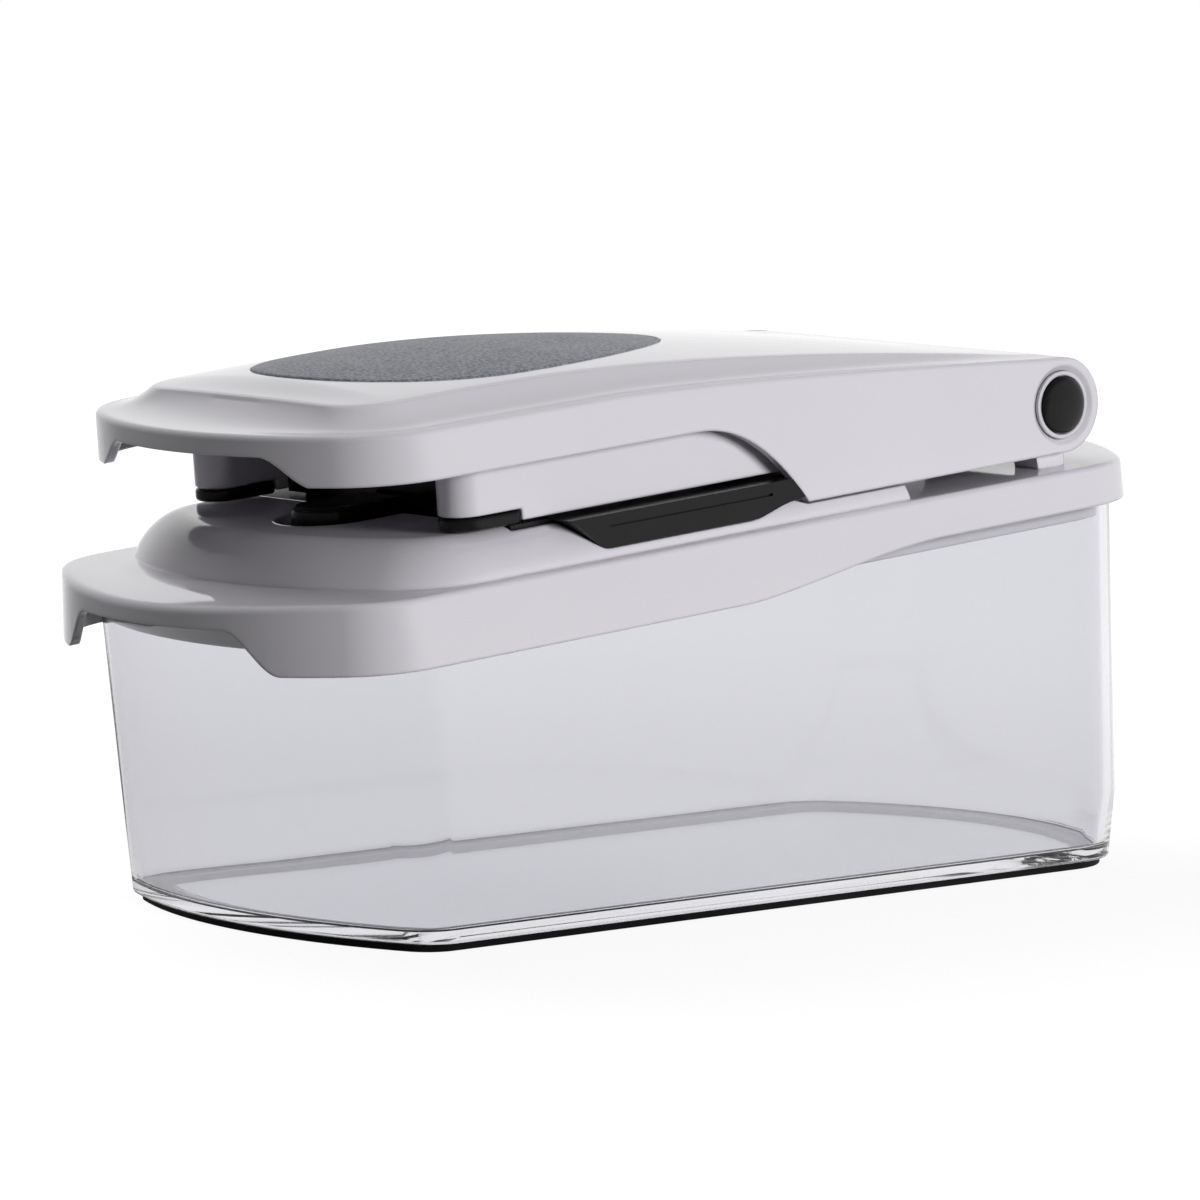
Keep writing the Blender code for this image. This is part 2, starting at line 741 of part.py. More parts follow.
def post_outer():
    """Outer face of a hinge post, just inside the arm's cheek."""
    return ARM_HALF_WIDTH - WALL - 4 * GAP


def post_inner():
    """Inner face of a hinge post."""
    return post_outer() - POST_WIDTH


def hinge_posts():
    """The two posts that carry the arm, each a round head on a neck that spreads at its foot."""
    half = POST_NECK / 2
    foot_z = RIM_TOP - WALL / 2
    neck = [
        (HINGE_X - half - POST_SPREAD, foot_z),
        (HINGE_X - half, RIM_TOP + POST_SPREAD),
        (HINGE_X - half, HINGE_Z),
        (HINGE_X + half, HINGE_Z),
        (HINGE_X + half, RIM_TOP + POST_SPREAD),
        (HINGE_X + half + POST_SPREAD, foot_z),
    ]
    for side in (-1, 1):
        ends = (side * post_inner(), side * post_outer())
        yield f"post_neck_{side}", prism(f"post_neck_{side}", neck, ends[0], ends[1], "y")
        head = [(POST_RADIUS, post_inner()), (POST_RADIUS, post_outer())]
        yield f"post_head_{side}", turned(f"post_head_{side}", head, HINGE, side)


def build_blade_frame():
    """The black cassette: a window frame with side grips, a lifting tongue and blade slots."""
    low = (grid_front() - FRAME_BORDER, -GRIP_HALF_WIDTH, FRAME_BOTTOM)
    high = (FRAME_REAR, GRIP_HALF_WIDTH, FRAME_TOP)
    frame = add_part("blade_frame", box("blade_frame", low, high), LID, "black_plastic")
    for side in (-1, 1):
        for facing in (-1, 1):
            name = f"grip_end_{side}_{facing}"
            ends = (side * FRAME_HALF_WIDTH, side * 2 * GRIP_HALF_WIDTH)
            combine(frame, add_cutter(name, prism(name, beyond_grip(facing), *ends, "y"), LID))
    turn = TONGUE_ROUND * ROUND_SHARE
    tongue = lofted("tongue", [
        at_height(tongue_outline(0.0), TONGUE_BOTTOM),
        at_height(tongue_outline(0.0), TONGUE_TOP - TONGUE_ROUND),
        at_height(tongue_outline(-turn), TONGUE_TOP - turn),
        at_height(tongue_outline(-TONGUE_ROUND), TONGUE_TOP),
    ])
    combine(frame, add_cutter("tongue", tongue, LID), "UNION")
    low = (grid_front(), -grid_half_width(), FRAME_BOTTOM - PAST)
    high = (GRID_REAR, grid_half_width(), FRAME_TOP + PAST)
    combine(frame, add_cutter("blade_window", box("blade_window", low, high), LID))
    for name, low, high in blade_boxes(GAP, GAP):
        combine(frame, add_cutter(f"slot_{name}", box(f"slot_{name}", low, high), LID))
    return frame


def beyond_grip(facing):
    """What lies beyond a grip's front or rear end, seen from the side: the front end sweeps up
    from a flat underside, and the rear end stops short of the arm's skirt."""
    under, over = FRAME_BOTTOM - PAST, FRAME_TOP + PAST
    if facing < 0:
        low = (GRIP_FRONT + GRIP_SWEEP, FRAME_BOTTOM - GAP)
        high = (GRIP_FRONT, FRAME_TOP + GAP)
        far = grid_front() - 2 * FRAME_BORDER
        profile = [(far, under), (low[0], under), low] + sweep(low, high)
        return profile + [high, (high[0], over), (far, over)]
    low = (GRIP_REAR - GRIP_REAR_SWEEP, FRAME_BOTTOM - GAP)
    high = (GRIP_REAR, TOE_HEIGHT + GAP)
    profile = [(low[0], under), low] + sweep(low, high) + [high]
    for k in range(1, ARC_STEPS):
        height = mix(high[1], FRAME_TOP, k / (ARC_STEPS - 1))
        profile.append((arch_x(height) - 3 * GAP, height))
    far = FRAME_REAR + FRAME_BORDER
    return profile + [(profile[-1][0], over), (far, over), (far, under)]


def blade_places():
    """Each blade's name, direction and place: long blades run along x, cross blades along y."""
    for k in range(1, CELLS_ACROSS):
        yield f"long_blade_{k}", "long", -grid_half_width() + k * CELL
    for k in range(1, CELLS_LONG):
        yield f"cross_blade_{k}", "cross", grid_front() + k * CELL


def blade_boxes(side_gap, end_gap):
    """Each blade's name and its box, grown by the gaps."""
    half = BLADE_THICKNESS / 2 + side_gap
    low_z, high_z = BLADE_BOTTOM - side_gap, BLADE_TOP + side_gap
    root = BLADE_ROOT + end_gap
    for name, direction, place in blade_places():
        if direction == "long":
            yield name, (grid_front() - root, place - half, low_z), (GRID_REAR + root, place + half, high_z)
        else:
            reach = grid_half_width() + root
            yield name, (place - half, -reach, low_z), (place + half, reach, high_z)


def build_blades():
    """Stainless strips, half-lapped where they cross: long ones slotted from below, cross ones
    from above."""
    middle = (BLADE_BOTTOM + BLADE_TOP) / 2
    lap = BLADE_THICKNESS / 2 + GAP
    for name, low, high in blade_boxes(0.0, 0.0):
        if name.startswith("long"):
            crossings = [grid_front() + k * CELL for k in range(1, CELLS_LONG)]
            outline = lapped_strip(low[0], high[0], crossings, lap, middle + GAP / 2, low[2], high[2])
            mesh = prism(name, outline, low[1], high[1], "y")
        else:
            crossings = [-grid_half_width() + k * CELL for k in range(1, CELLS_ACROSS)]
            outline = lapped_strip(low[1], high[1], crossings, lap, middle - GAP / 2, high[2], low[2])
            mesh = prism(name, outline, low[0], high[0], "x")
        add_part(name, mesh, LID, "stainless_steel")


def lapped_strip(start, end, crossings, lap, depth, slotted, plain):
    """A strip's outline with a slot at each crossing, open on its slotted edge."""
    outline = [(start, slotted)]
    for place in crossings:
        before, after = place - lap, place + lap
        outline += [(before, slotted), (before, depth), (after, depth), (after, slotted)]
    return outline + [(end, slotted), (end, plain), (start, plain)]


def fall(start, power, high, x):
    """A height that stays level up to start and then falls to the arm's end over the hinge."""
    share = max(0.0, (min(x, HINGE_X) - start) / (HINGE_X - start))
    return high - (high - HINGE_Z - ARM_END_RADIUS) * share ** power


def droop(x):
    """How far the arm's front end bends down."""
    share = max(0.0, (DROOP_START - x) / (DROOP_START - ARM_FRONT))
    return DROOP * share ** 2


def shoulder_height(x):
    """Height of the arm's side edge, just under the ridge where the two meet."""
    return fall(SHOULDER_FALL_START, SHOULDER_FALL_POWER, SHOULDER_HEIGHT, x) - droop(x) - GAP / 2


def ridge_height(x):
    """Height of the edge of the arm's raised top."""
    return fall(RIDGE_FALL_START, RIDGE_FALL_POWER, RIDGE_HEIGHT, x) - droop(x)


def arch_z(share):
    """Height of the skirt's arch a share of the way along it."""
    return mix(ARM_LIP_BOTTOM, ARM_SKIRT_REAR, share ** ARM_ARCH_POWER)


def arch_x(height):
    """Where the skirt's arch comes down to a height."""
    share = (ARM_LIP_BOTTOM - height) / (ARM_LIP_BOTTOM - ARM_SKIRT_REAR)
    return mix(ARM_ARCH_START, ARM_ARCH_END, share ** (1 / ARM_ARCH_POWER))


def arm_outline(inset=0.0):
    """The arm's plan: bowed front with round corners, straight sides and a square rear that
    lies past the round end."""
    rear = HINGE_X + 2 * ARM_END_RADIUS
    corners = (ARM_CORNER, WALL)
    return bowed_outline(ARM_FRONT, rear, ARM_HALF_WIDTH, (ARM_BOW, ARM_REAR_BOW), corners, inset)


def ridge_share(x):
    """How far back x lies between the ridge's front and the hinge."""
    return min(max((x - RIDGE_FRONT) / (HINGE_X - RIDGE_FRONT), 0.0), 1.0)


def ridge_half_width(x):
    """Half the width of the arm's raised top, which spreads towards the hinge."""
    return mix(RIDGE_HALF_WIDTH_FRONT, RIDGE_HALF_WIDTH_REAR, ridge_share(x) ** RIDGE_SPREAD_POWER)


def ridge_outline(inset=0.0):
    """The edge of the arm's raised top, in plan."""
    rear, half_width = HINGE_X + 2 * ARM_END_RADIUS, RIDGE_HALF_WIDTH_FRONT
    bows, corners = (RIDGE_BOW, ARM_REAR_BOW), (RIDGE_CORNER, WALL)
    outline = bowed_outline(RIDGE_FRONT, rear, half_width, bows, corners, inset)
    return [(x, y * ridge_half_width(x) / half_width) for x, y in outline]


def top_height(x, y):
    """Height of the arm's raised top, crowned across its width but level over the hinge."""
    across = 1 - min(abs(y) / ridge_half_width(x), 1.0) ** 2
    return ridge_height(x) + CROWN * across * (1 - ridge_share(x) ** 2)


def roof_thickness(x):
    """Thickness of the arm's top, less over the hinge."""
    return mix(ARM_ROOF, WALL, ridge_share(x))


def between(outer, inner, share, height):
    """A ring a share of the way between two outlines, at a height given by a function of x."""
    ring = []
    for (x0, y0), (x1, y1) in zip(outer, inner):
        x, y = mix(x0, x1, share), mix(y0, y1, share)
        ring.append((x, y, height(x)))
    return ring


def arm_loft(name, inset, lowered):
    """The arm's form from its plan up over shoulder and ridge to the crowned top, drawn in by
    inset and lowered by a function of x."""
    def level(share):
        """A height between shoulder and ridge."""
        return lambda x: mix(shoulder_height(x), ridge_height(x), share) - lowered(x)

    outer, ridge = arm_outline(inset), ridge_outline(inset)
    soft, turn = ARM_EDGE_ROUND, ARM_EDGE_ROUND * ROUND_SHARE
    rings = [
        at_height(outer, -ARM_LIP_BOTTOM),
        at_height(outer, lambda x: level(0.0)(x) - soft),
        at_height(arm_outline(inset + turn), lambda x: level(0.0)(x) - turn),
        at_height(arm_outline(inset + soft), level(0.0)),
    ]
    for inward, upward in COVE:
        rings.append(between(outer, ridge, inward, level(upward)))
    return crowned_loft(name, rings, lambda x, y: top_height(x, y) - lowered(x))


def crowned_loft(name, rings, height):
    """Skin rings with a flat cap below and, above, rows of faces across the last ring."""
    bm = bmesh.new()
    loops = [[bm.verts.new(point) for point in ring] for ring in rings]
    count = len(loops[0])
    for lower, upper in zip(loops, loops[1:]):
        for i in range(count):
            j = (i + 1) % count
            bm.faces.new((lower[i], lower[j], upper[j], upper[i]))
    bm.faces.new(loops[0])
    edge = loops[-1]
    rows = []
    for k in range(1, count // 2):
        near, far = edge[k], edge[count - k]
        row = [near]
        for step in range(1, CROWN_STEPS):
            point = near.co.lerp(far.co, step / CROWN_STEPS)
            row.append(bm.verts.new((point.x, point.y, height(point.x, point.y))))
        rows.append(row + [far])
    for first, second in zip(rows, rows[1:]):
        for i in range(CROWN_STEPS):
            bm.faces.new((first[i], first[i + 1], second[i + 1], second[i]))
    for tip, row in ((edge[0], rows[0]), (edge[count // 2], rows[-1])):
        for i in range(CROWN_STEPS):
            bm.faces.new((tip, row[i], row[i + 1]))
    return mesh_from(bm, name)


def arm_side_profile(inset):
    """The arm seen from the side: lip, arch, skirt and the round end about the hinge."""
    far = ARM_FRONT - ARM_CORNER
    high = RIDGE_HEIGHT + ARM_CORNER
    low = -ARM_LIP_BOTTOM
    radius = ARM_END_RADIUS - inset
    centre = (HINGE_X, HINGE_Z)
    if inset:
        end = arc(centre, radius, -math.pi / 2, math.pi / 2, END_STEPS)
        return [(far, high), (far, low), (HINGE_X, low)] + end + [(HINGE_X, high)]
    start = -math.pi / 2 - math.acos((HINGE_Z - ARM_SKIRT_REAR) / radius)
    end = arc(centre, radius, start, math.pi / 2, END_STEPS)
    shares = [k / SWEEP_STEPS for k in range(SWEEP_STEPS + 1)]
    arch = [(mix(ARM_ARCH_START, ARM_ARCH_END, share), arch_z(share)) for share in shares]
    return [(far, high), (far, ARM_LIP_BOTTOM)] + arch + end + [(HINGE_X, high)]


def pad_slab(name, grow, below, above, swell=0.0):
    """An oval slab that follows the arm's top, from below it to above it, higher by the swell
    in its middle."""
    def ring(share, offset):
        """An oval ring on the top."""
        length, width = (PAD_HALF_LENGTH + grow) * share, (PAD_HALF_WIDTH + grow) * share
        points = []
        for k in range(ROUND_STEPS):
            angle = 2 * math.pi * k / ROUND_STEPS
            x = PAD_CENTRE + length * math.cos(angle)
            y = width * math.sin(angle) * (1 - PAD_TAPER * math.cos(angle))
            points.append((x, y, top_height(x, y) + offset))
        return points

    rings = [ring(share, -below) for share in PAD_RINGS]
    rings += [ring(share, above + swell * (1 - share ** 2)) for share in reversed(PAD_RINGS)]
    return lofted(name, rings)


def build_arm_shell():
    """The white arm: a hollow shell open below, arched at the sides, with a notched lip, a
    recess for the pad, bosses for the pusher and bores for the hinge bushes."""
    width = 2 * ARM_HALF_WIDTH
    arm = add_part("arm_shell", arm_loft("arm_shell", 0.0, lambda x: 0.0), AXIS, "white_plastic")
    side = prism("arm_side", arm_side_profile(0.0), -width, width, "y")
    combine(arm, add_cutter("arm_side", side, AXIS), "INTERSECT")
    hollow = add_cutter("arm_hollow", arm_loft("arm_hollow", WALL, roof_thickness), AXIS)
    hollow_side = prism("arm_hollow_side", arm_side_profile(WALL), -width, width, "y")
    combine(hollow, add_cutter("arm_hollow_side", hollow_side, AXIS), "INTERSECT")
    for index, (x, y) in enumerate(boss_places()):
        boss = post(f"boss_{index}", x, y, PUSHER_TOP + GAP, RIDGE_HEIGHT)
        combine(hollow, add_cutter(f"boss_{index}", boss, AXIS))
    combine(arm, hollow)
    recess = pad_slab("pad_recess", GAP, PAD_THICKNESS + GAP, 2 * PAD_THICKNESS)
    combine(arm, add_cutter("pad_recess", recess, AXIS))
    notch = prism("arm_notch", notch_profile(ARM_NOTCH_TOP, ARM_LIP_BOTTOM - GAP),
                  ARM_FRONT - WALL, RIDGE_FRONT, "x")
    combine(arm, add_cutter("arm_notch", notch, AXIS))
    for side in (-1, 1):
        combine(arm, add_cutter(f"post_way_{side}", post_way(side), AXIS))
        bore = turned(f"cheek_bore_{side}", [
            (BUSH_COLLAR + GAP, ARM_HALF_WIDTH - 2 * WALL),
            (BUSH_COLLAR + GAP, flange_face() - GAP),
            (BUSH_FLANGE + GAP, flange_face() - GAP),
            (BUSH_FLANGE + GAP, ARM_HALF_WIDTH + WALL),
        ], HINGE, side)
        combine(arm, add_cutter(f"cheek_bore_{side}", bore, AXIS))
    return arm


def boss_places():
    """Where the pusher is held to the arm's top."""
    for x in (GRID_REAR - CELL / 2, grid_front() + CELL / 2):
        for y in (-2 * CELL, 2 * CELL):
            yield x, y


def post(name, x, y, low, high):
    """An upright round post."""
    ring = arc((x, y), BOSS_RADIUS, 0.0, 2 * math.pi, 2 * NOSE_STEPS)[:-1]
    return prism(name, ring, low, high)


def post_way(side):
    """The slot in the arm's rear that lets a hinge post pass as the arm swings up."""
    inner, outer = side * (post_inner() - 3 * GAP), side * (ARM_HALF_WIDTH - WALL)
    high = HINGE_Z + ARM_END_RADIUS * math.sin(POST_WAY_ANGLE)
    low = (HINGE_X - POST_NECK / 2, min(inner, outer), -ARM_END_RADIUS)
    return box(f"post_way_{side}", low, (HINGE_X + 2 * ARM_END_RADIUS, max(inner, outer), high))


def flange_face():
    """Inner face of the bush's flange, let into the arm's cheek."""
    return ARM_HALF_WIDTH - FLANGE_THICKNESS - GAP / 2


def build_grip_pad():
    """The grey soft pad on top of the arm."""
    mesh = pad_slab("grip_pad", 0.0, PAD_THICKNESS, PAD_PROUD, PAD_SWELL)
    return add_part("grip_pad", mesh, AXIS, "grey_soft_touch")


def build_hinge():
    """On each side a bush that turns in the lid's post, the pin through it and its black cap."""
    for side, word in ((-1, "near"), (1, "far")):
        bottom = ARM_HALF_WIDTH - CAP_SEAT
        bush = turned(f"hinge_bush_{word}", [
            (PIN_RADIUS + GAP, post_inner() + GAP),
            (BUSH_RADIUS, post_inner() + GAP),
            (BUSH_RADIUS, post_outer() + GAP),
            (BUSH_COLLAR, post_outer() + GAP),
            (BUSH_COLLAR, flange_face()),
            (BUSH_FLANGE, flange_face()),
            (BUSH_FLANGE, flange_face() + FLANGE_THICKNESS),
            (CAP_RADIUS + GAP, flange_face() + FLANGE_THICKNESS),
            (CAP_RADIUS + GAP, bottom),
            (PIN_RADIUS + GAP, bottom),
        ], HINGE, side, closed=True)
        add_part(f"hinge_bush_{word}", bush, AXIS, "white_plastic")
        head = post_inner() - GAP
        pin = turned(f"hinge_pin_{word}", [
            (PIN_HEAD_RADIUS, head - PIN_HEAD),
            (PIN_HEAD_RADIUS, head),
            (PIN_RADIUS, head),
            (PIN_RADIUS, bottom - GAP),
        ], HINGE, side)
        add_part(f"hinge_pin_{word}", pin, AXIS, "stainless_steel")
        edge = ARM_HALF_WIDTH
        dome = [(CAP_RADIUS, bottom + GAP), (CAP_RADIUS, edge)]
        for k in range(1, DOME_STEPS):
            angle = math.pi / 2 * k / DOME_STEPS
            dome.append((CAP_RADIUS * math.cos(angle), edge + CAP_DOME * math.sin(angle)))
        cap = turned(f"hinge_cap_{word}", dome, HINGE, side)
        add_part(f"hinge_cap_{word}", cap, AXIS, "black_plastic")


def pusher_outline(front, wall_rear):
    """The pusher's plan: a U with round noses, open to the front."""
    radius = PUSHER_WALL / 2
    centre = front + radius
    outer = PUSHER_WALL_CENTRE + radius
    inner = PUSHER_WALL_CENTRE - radius
    nose = arc((centre, PUSHER_WALL_CENTRE), radius, 1.5 * math.pi, 0.5 * math.pi, NOSE_STEPS)
    half = [(wall_rear, inner)] + nose + [(PUSHER_REAR, outer)]
    return half + [(x, -y) for x, y in reversed(half)]


def build_pusher_block():
    """The white housing under the arm: two walls with round noses, a rear wall and a roof."""
    rear = PUSHER_REAR - PUSHER_REAR_WALL
    mesh = prism("pusher_block", pusher_outline(PUSHER_FRONT, rear), PUSHER_BOTTOM, PUSHER_TOP)
    block = add_part("pusher_block", mesh, AXIS, "white_plastic")
    inner = PUSHER_WALL_CENTRE
    low = (roof_front(), -inner, PUSHER_TOP - PUSHER_ROOF)
    roof = box("pusher_roof", low, (rear + WALL, inner, PUSHER_TOP))
    combine(block, add_cutter("pusher_roof", roof, AXIS), "UNION")
    low = (PUSHER_FRONT - PAST, -PUSHER_WALL_CENTRE - PUSHER_WALL, PUSHER_BOTTOM - PAST)
    high = (PUSHER_FRONT + CAP_FOOT_LENGTH + GAP, PUSHER_WALL_CENTRE + PUSHER_WALL, foot_top() + GAP)
    return combine(block, add_cutter("foot_step", box("foot_step", low, high), AXIS))


def foot_top():
    """Top of a nose's foot."""
    return DECK_HEIGHT + GAP + CAP_FOOT_HEIGHT


def roof_front():
    """Front edge of the pusher's roof, over the first row of pegs."""
    return grid_front() - 3 * GAP


def build_pusher_feet():
    """The black feet under the noses, which land on the deck."""
    radius = PUSHER_WALL / 2
    centre = PUSHER_FRONT + radius
    rear = PUSHER_FRONT + CAP_FOOT_LENGTH
    nose = arc((centre, 0.0), radius, 0.5 * math.pi, 1.5 * math.pi, NOSE_STEPS)
    for side, word in ((-1, "near"), (1, "far")):
        outline = [(rear, radius)] + nose + [(rear, -radius)]
        outline = [(x, y + side * PUSHER_WALL_CENTRE) for x, y in outline]
        name = f"pusher_foot_{word}"
        mesh = prism(name, outline, DECK_HEIGHT + GAP, foot_top())
        bevel(add_part(name, mesh, AXIS, "black_plastic"), FOOT_ROUND)


def cell_centres():
    """The middle of each cell of the blade grid."""
    for i in range(CELLS_LONG):
        for j in range(CELLS_ACROSS):
            yield grid_front() + (i + 0.5) * CELL, -grid_half_width() + (j + 0.5) * CELL


def peg_field(name, side, low, high):
    """A square column in each cell, as one mesh."""
    bm = bmesh.new()
    for x, y in cell_centres():
        made = bmesh.ops.create_cube(bm, size=1.0)["verts"]
        bmesh.ops.scale(bm, verts=made, vec=(side, side, high - low))
        bmesh.ops.translate(bm, verts=made, vec=(x, y, (low + high) / 2))
    return mesh_from(bm, name)


def build_pusher_pegs():
    """The pegs that press through the cells, on their plate under the pusher's roof."""
    top = PUSHER_TOP - PUSHER_ROOF - GAP
    low = (grid_front(), -grid_half_width(), top - PEG_PLATE)
    plate = box("pusher_pegs", low, (GRID_REAR, grid_half_width(), top))
    pegs = add_part("pusher_pegs", plate, AXIS, "white_plastic")
    field = peg_field("peg_columns", PEG_SIDE, PEG_TIP, top - PEG_PLATE / 2)
    return combine(pegs, add_cutter("peg_columns", field, AXIS), "UNION")


def build_cleaning_comb():
    """The black comb that slides off the pegs to clear them, with an apron in front."""
    top = PUSHER_TOP - PUSHER_ROOF - PEG_PLATE - 2 * GAP
    apron_front = grid_front() - 2 * GAP - COMB_APRON
    low = (apron_front, -grid_half_width(), top - COMB_THICKNESS)
    mesh = box("cleaning_comb", low, (GRID_REAR, grid_half_width(), top))
    comb = add_part("cleaning_comb", mesh, AXIS, "black_plastic")
    holes = peg_field("comb_holes", PEG_SIDE + 2 * COMB_CLEARANCE, PEG_TIP, PUSHER_TOP)
    combine(comb, add_cutter("comb_holes", holes, AXIS))
    low = (apron_front, -grid_half_width(), COMB_APRON_BOTTOM)
    high = (apron_front + COMB_APRON, grid_half_width(), top - COMB_THICKNESS / 2)
    return combine(comb, add_cutter("comb_apron", box("comb_apron", low, high), AXIS), "UNION")


def centre_on_table():
    """Set the frame's origin at the bottom centre of the whole object."""
    graph = bpy.context.evaluated_depsgraph_get()
    low, high = math.inf, -math.inf
    for item in PARTS.objects:
        if item.type != "MESH":
            continue
        seen = item.evaluated_get(graph)
        for corner in seen.bound_box:
            x = (item.matrix_world @ Vector(corner)).x
            low, high = min(low, x), max(high, x)
    TABLE.location.x = -(low + high) / 2
    return TABLE.location.x


build_container()
build_foot_ring()
build_lid_frame()
build_blade_frame()
build_blades()
build_arm_shell()
build_grip_pad()
build_hinge()
build_pusher_block()
build_pusher_feet()
build_pusher_pegs()
build_cleaning_comb()
bpy.context.view_layer.update()
centre_on_table()
bpy.context.view_layer.update()
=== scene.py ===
"""The looks of the press-type vegetable chopper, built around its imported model.

The moulded pieces are made again from the part's own sizes, with finer curves and softer
edges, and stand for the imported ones. Units are metres; the lid and the press arm are made
flat, in the lid's plane, and then placed.
"""

import math

import bmesh
import bpy
from mathutils import Matrix, Vector


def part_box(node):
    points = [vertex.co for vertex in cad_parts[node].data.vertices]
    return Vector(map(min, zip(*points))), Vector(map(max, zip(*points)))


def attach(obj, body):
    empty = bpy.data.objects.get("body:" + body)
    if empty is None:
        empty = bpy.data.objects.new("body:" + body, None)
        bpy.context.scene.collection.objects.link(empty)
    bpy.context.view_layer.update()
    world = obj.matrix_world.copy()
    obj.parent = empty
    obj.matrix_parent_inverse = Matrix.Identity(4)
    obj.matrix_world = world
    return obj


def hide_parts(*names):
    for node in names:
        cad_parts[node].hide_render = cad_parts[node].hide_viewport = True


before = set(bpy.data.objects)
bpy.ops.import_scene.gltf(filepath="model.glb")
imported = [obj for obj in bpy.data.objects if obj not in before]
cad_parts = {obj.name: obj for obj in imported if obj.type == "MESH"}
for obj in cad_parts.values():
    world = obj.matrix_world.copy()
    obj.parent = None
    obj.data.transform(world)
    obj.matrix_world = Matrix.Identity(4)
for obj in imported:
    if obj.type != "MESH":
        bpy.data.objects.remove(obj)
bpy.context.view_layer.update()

# Clearance between pieces that touch, and thickness of the moulded walls
GAP = 0.0003
WALL = 0.0024

# Container, seen from above and in height
BASE_FRONT = -0.1208
BASE_REAR = 0.1218
BASE_HALF_WIDTH = 0.0568
BASE_BOWS = (0.1235, 0.0836)
BASE_CORNERS = (0.012, 0.019)
BELLY_FRONT = -0.1228
BELLY_REAR = 0.1235
BELLY_HEIGHT = 0.0176
TOP_FRONT = -0.1323
TOP_REAR = 0.1200
TOP_HALF_WIDTH = 0.0576
TOP_BOWS = (0.1225, 0.088)
TOP_CORNERS = (0.0212, 0.022)
CONTAINER_WALL = 0.0025
FOOT_HEIGHT = 0.0019
FOOT_INSET = 0.0022
FOOT_WIDTH = 0.006
FOOT_SOCKET = 0.0002
FLOOR = 0.0027
BASE_EDGE = 0.0008

# Lid plane: its slope and its height above the table at mid length
LID_TILT = math.radians(4.65)
LID_HEIGHT = 0.0889

# Lid rim and plug skirt
RIM_FRONT = -0.1470
RIM_REAR = 0.1240
RIM_OVERHANG = 0.0035
RIM_BOWS = (0.088, 0.088)
RIM_CORNERS = (0.022, 0.022)
RIM_TOP = 0.0005
RIM_ROUND = 0.0016
RIM_DRAFT = 0.0006
RIM_DROOP = 0.0016
RIM_DROOP_START = -0.128
RIM_DEPTH_FRONT = 0.0155
RIM_DEPTH_REAR = 0.009
RIM_SWEEP_START = -0.028
RIM_SWEEP_END = 0.042
PLUG_DEPTH = 0.0126
PLUG_WALL = 0.002
PLUG_CLEARANCE = 0.00045
RIM_NOTCH_DEPTH = 0.0055
NOTCH_HALF_WIDTH = 0.0257
NOTCH_SWEEP = 0.0135

# Raised platform on the lid
DECK_HEIGHT = 0.0103
DECK_FRONT = -0.124
DECK_HALF_WIDTH = 0.0575
DECK_REAR = 0.064
DECK_SLOPE = 0.012
DECK_SLOPE_POWER = 0.75
DECK_BOW = 0.098
DECK_CORNER = 0.024
SHOULDER_HALF_WIDTH = 0.0497
SHELF_HEIGHT = 0.0037
SHELF_END = 0.0335
DECK_SIDE_REAR = 0.038
TOE_HEIGHT = 0.005
TOE_FALL = 0.0035

# Blade cassette and its blades
CELL = 0.0125
CELLS_LONG = 5
CELLS_ACROSS = 6
GRID_REAR = -0.0085
FRAME_BORDER = 0.0075
FRAME_REAR = 0.003
FRAME_HALF_WIDTH = 0.0492
FRAME_TOP = 0.0103
FRAME_BOTTOM = 0.0027
GRIP_HALF_WIDTH = 0.0568
GRIP_FRONT = -0.0695
GRIP_REAR = 0.0
GRIP_SWEEP = 0.0135
GRIP_REAR_SWEEP = 0.015
BLADE_THICKNESS = 0.0005
BLADE_BOTTOM = 0.0046
BLADE_TOP = 0.0096
BLADE_ROOT = 0.003
TONGUE_LENGTH = 0.0215
TONGUE_HALF_WIDTH = 0.008
TONGUE_TOP = 0.0135
TONGUE_BOTTOM = 0.0048
TONGUE_RECESS = 0.004
TONGUE_ROUND = 0.0015

# Hinge between lid and press arm
HINGE_X = 0.0854
HINGE_Z = 0.0153
ARM_END_RADIUS = 0.0113
POST_RADIUS = 0.0082
POST_WIDTH = 0.008
NECK_FRONT = 0.0055
NECK_REAR = 0.0027
NECK_REAR_TOP = 0.0041
PIN_RADIUS = 0.0025
BUSH_RADIUS = 0.0055
BUSH_COLLAR = 0.0078
BUSH_FLANGE = 0.0080
FLANGE_THICKNESS = 0.0006
PIN_HEAD_RADIUS = 0.004
PIN_HEAD = 0.0012
CAP_SEAT = 0.0021
POST_WAY_ANGLE = math.radians(35)
CAP_RADIUS = 0.0067
CAP_DOME = 0.0016
DISH_RADIUS = 0.0094

# Press arm shell
ARM_FRONT = -0.1335
ARM_HALF_WIDTH = 0.0555
ARM_BOW = 0.091
ARM_CORNER = 0.024
ARM_LIP_BOTTOM = 0.0246
ARM_NOTCH_TOP = 0.0312
ARM_SKIRT_REAR = HINGE_Z - ARM_END_RADIUS + 0.0001
ARM_ARCH_START = -0.028
ARM_ARCH_END = 0.0045
ARM_ARCH_POWER = 2.2
ARM_REAR_BOW = 3.0
ARM_EDGE_ROUND = 0.0014
ARM_ROOF = 0.0034
SHOULDER_HEIGHT = 0.0362
SHOULDER_FALL_START = -0.050
SHOULDER_FALL_POWER = 1.33
RIDGE_HEIGHT = 0.0412
RIDGE_FALL_START = -0.060
RIDGE_FALL_POWER = 1.6
RIDGE_FRONT = -0.1145
RIDGE_HALF_WIDTH_FRONT = 0.0412
RIDGE_HALF_WIDTH_REAR = 0.049
RIDGE_SPREAD_POWER = 1.5
RIDGE_CORNER = 0.012
RIDGE_BOW = 0.6
CROWN = 0.00277
CROWN_FRONT = 0.3
CROWN_RISE = 0.015
DROOP = 0.0016
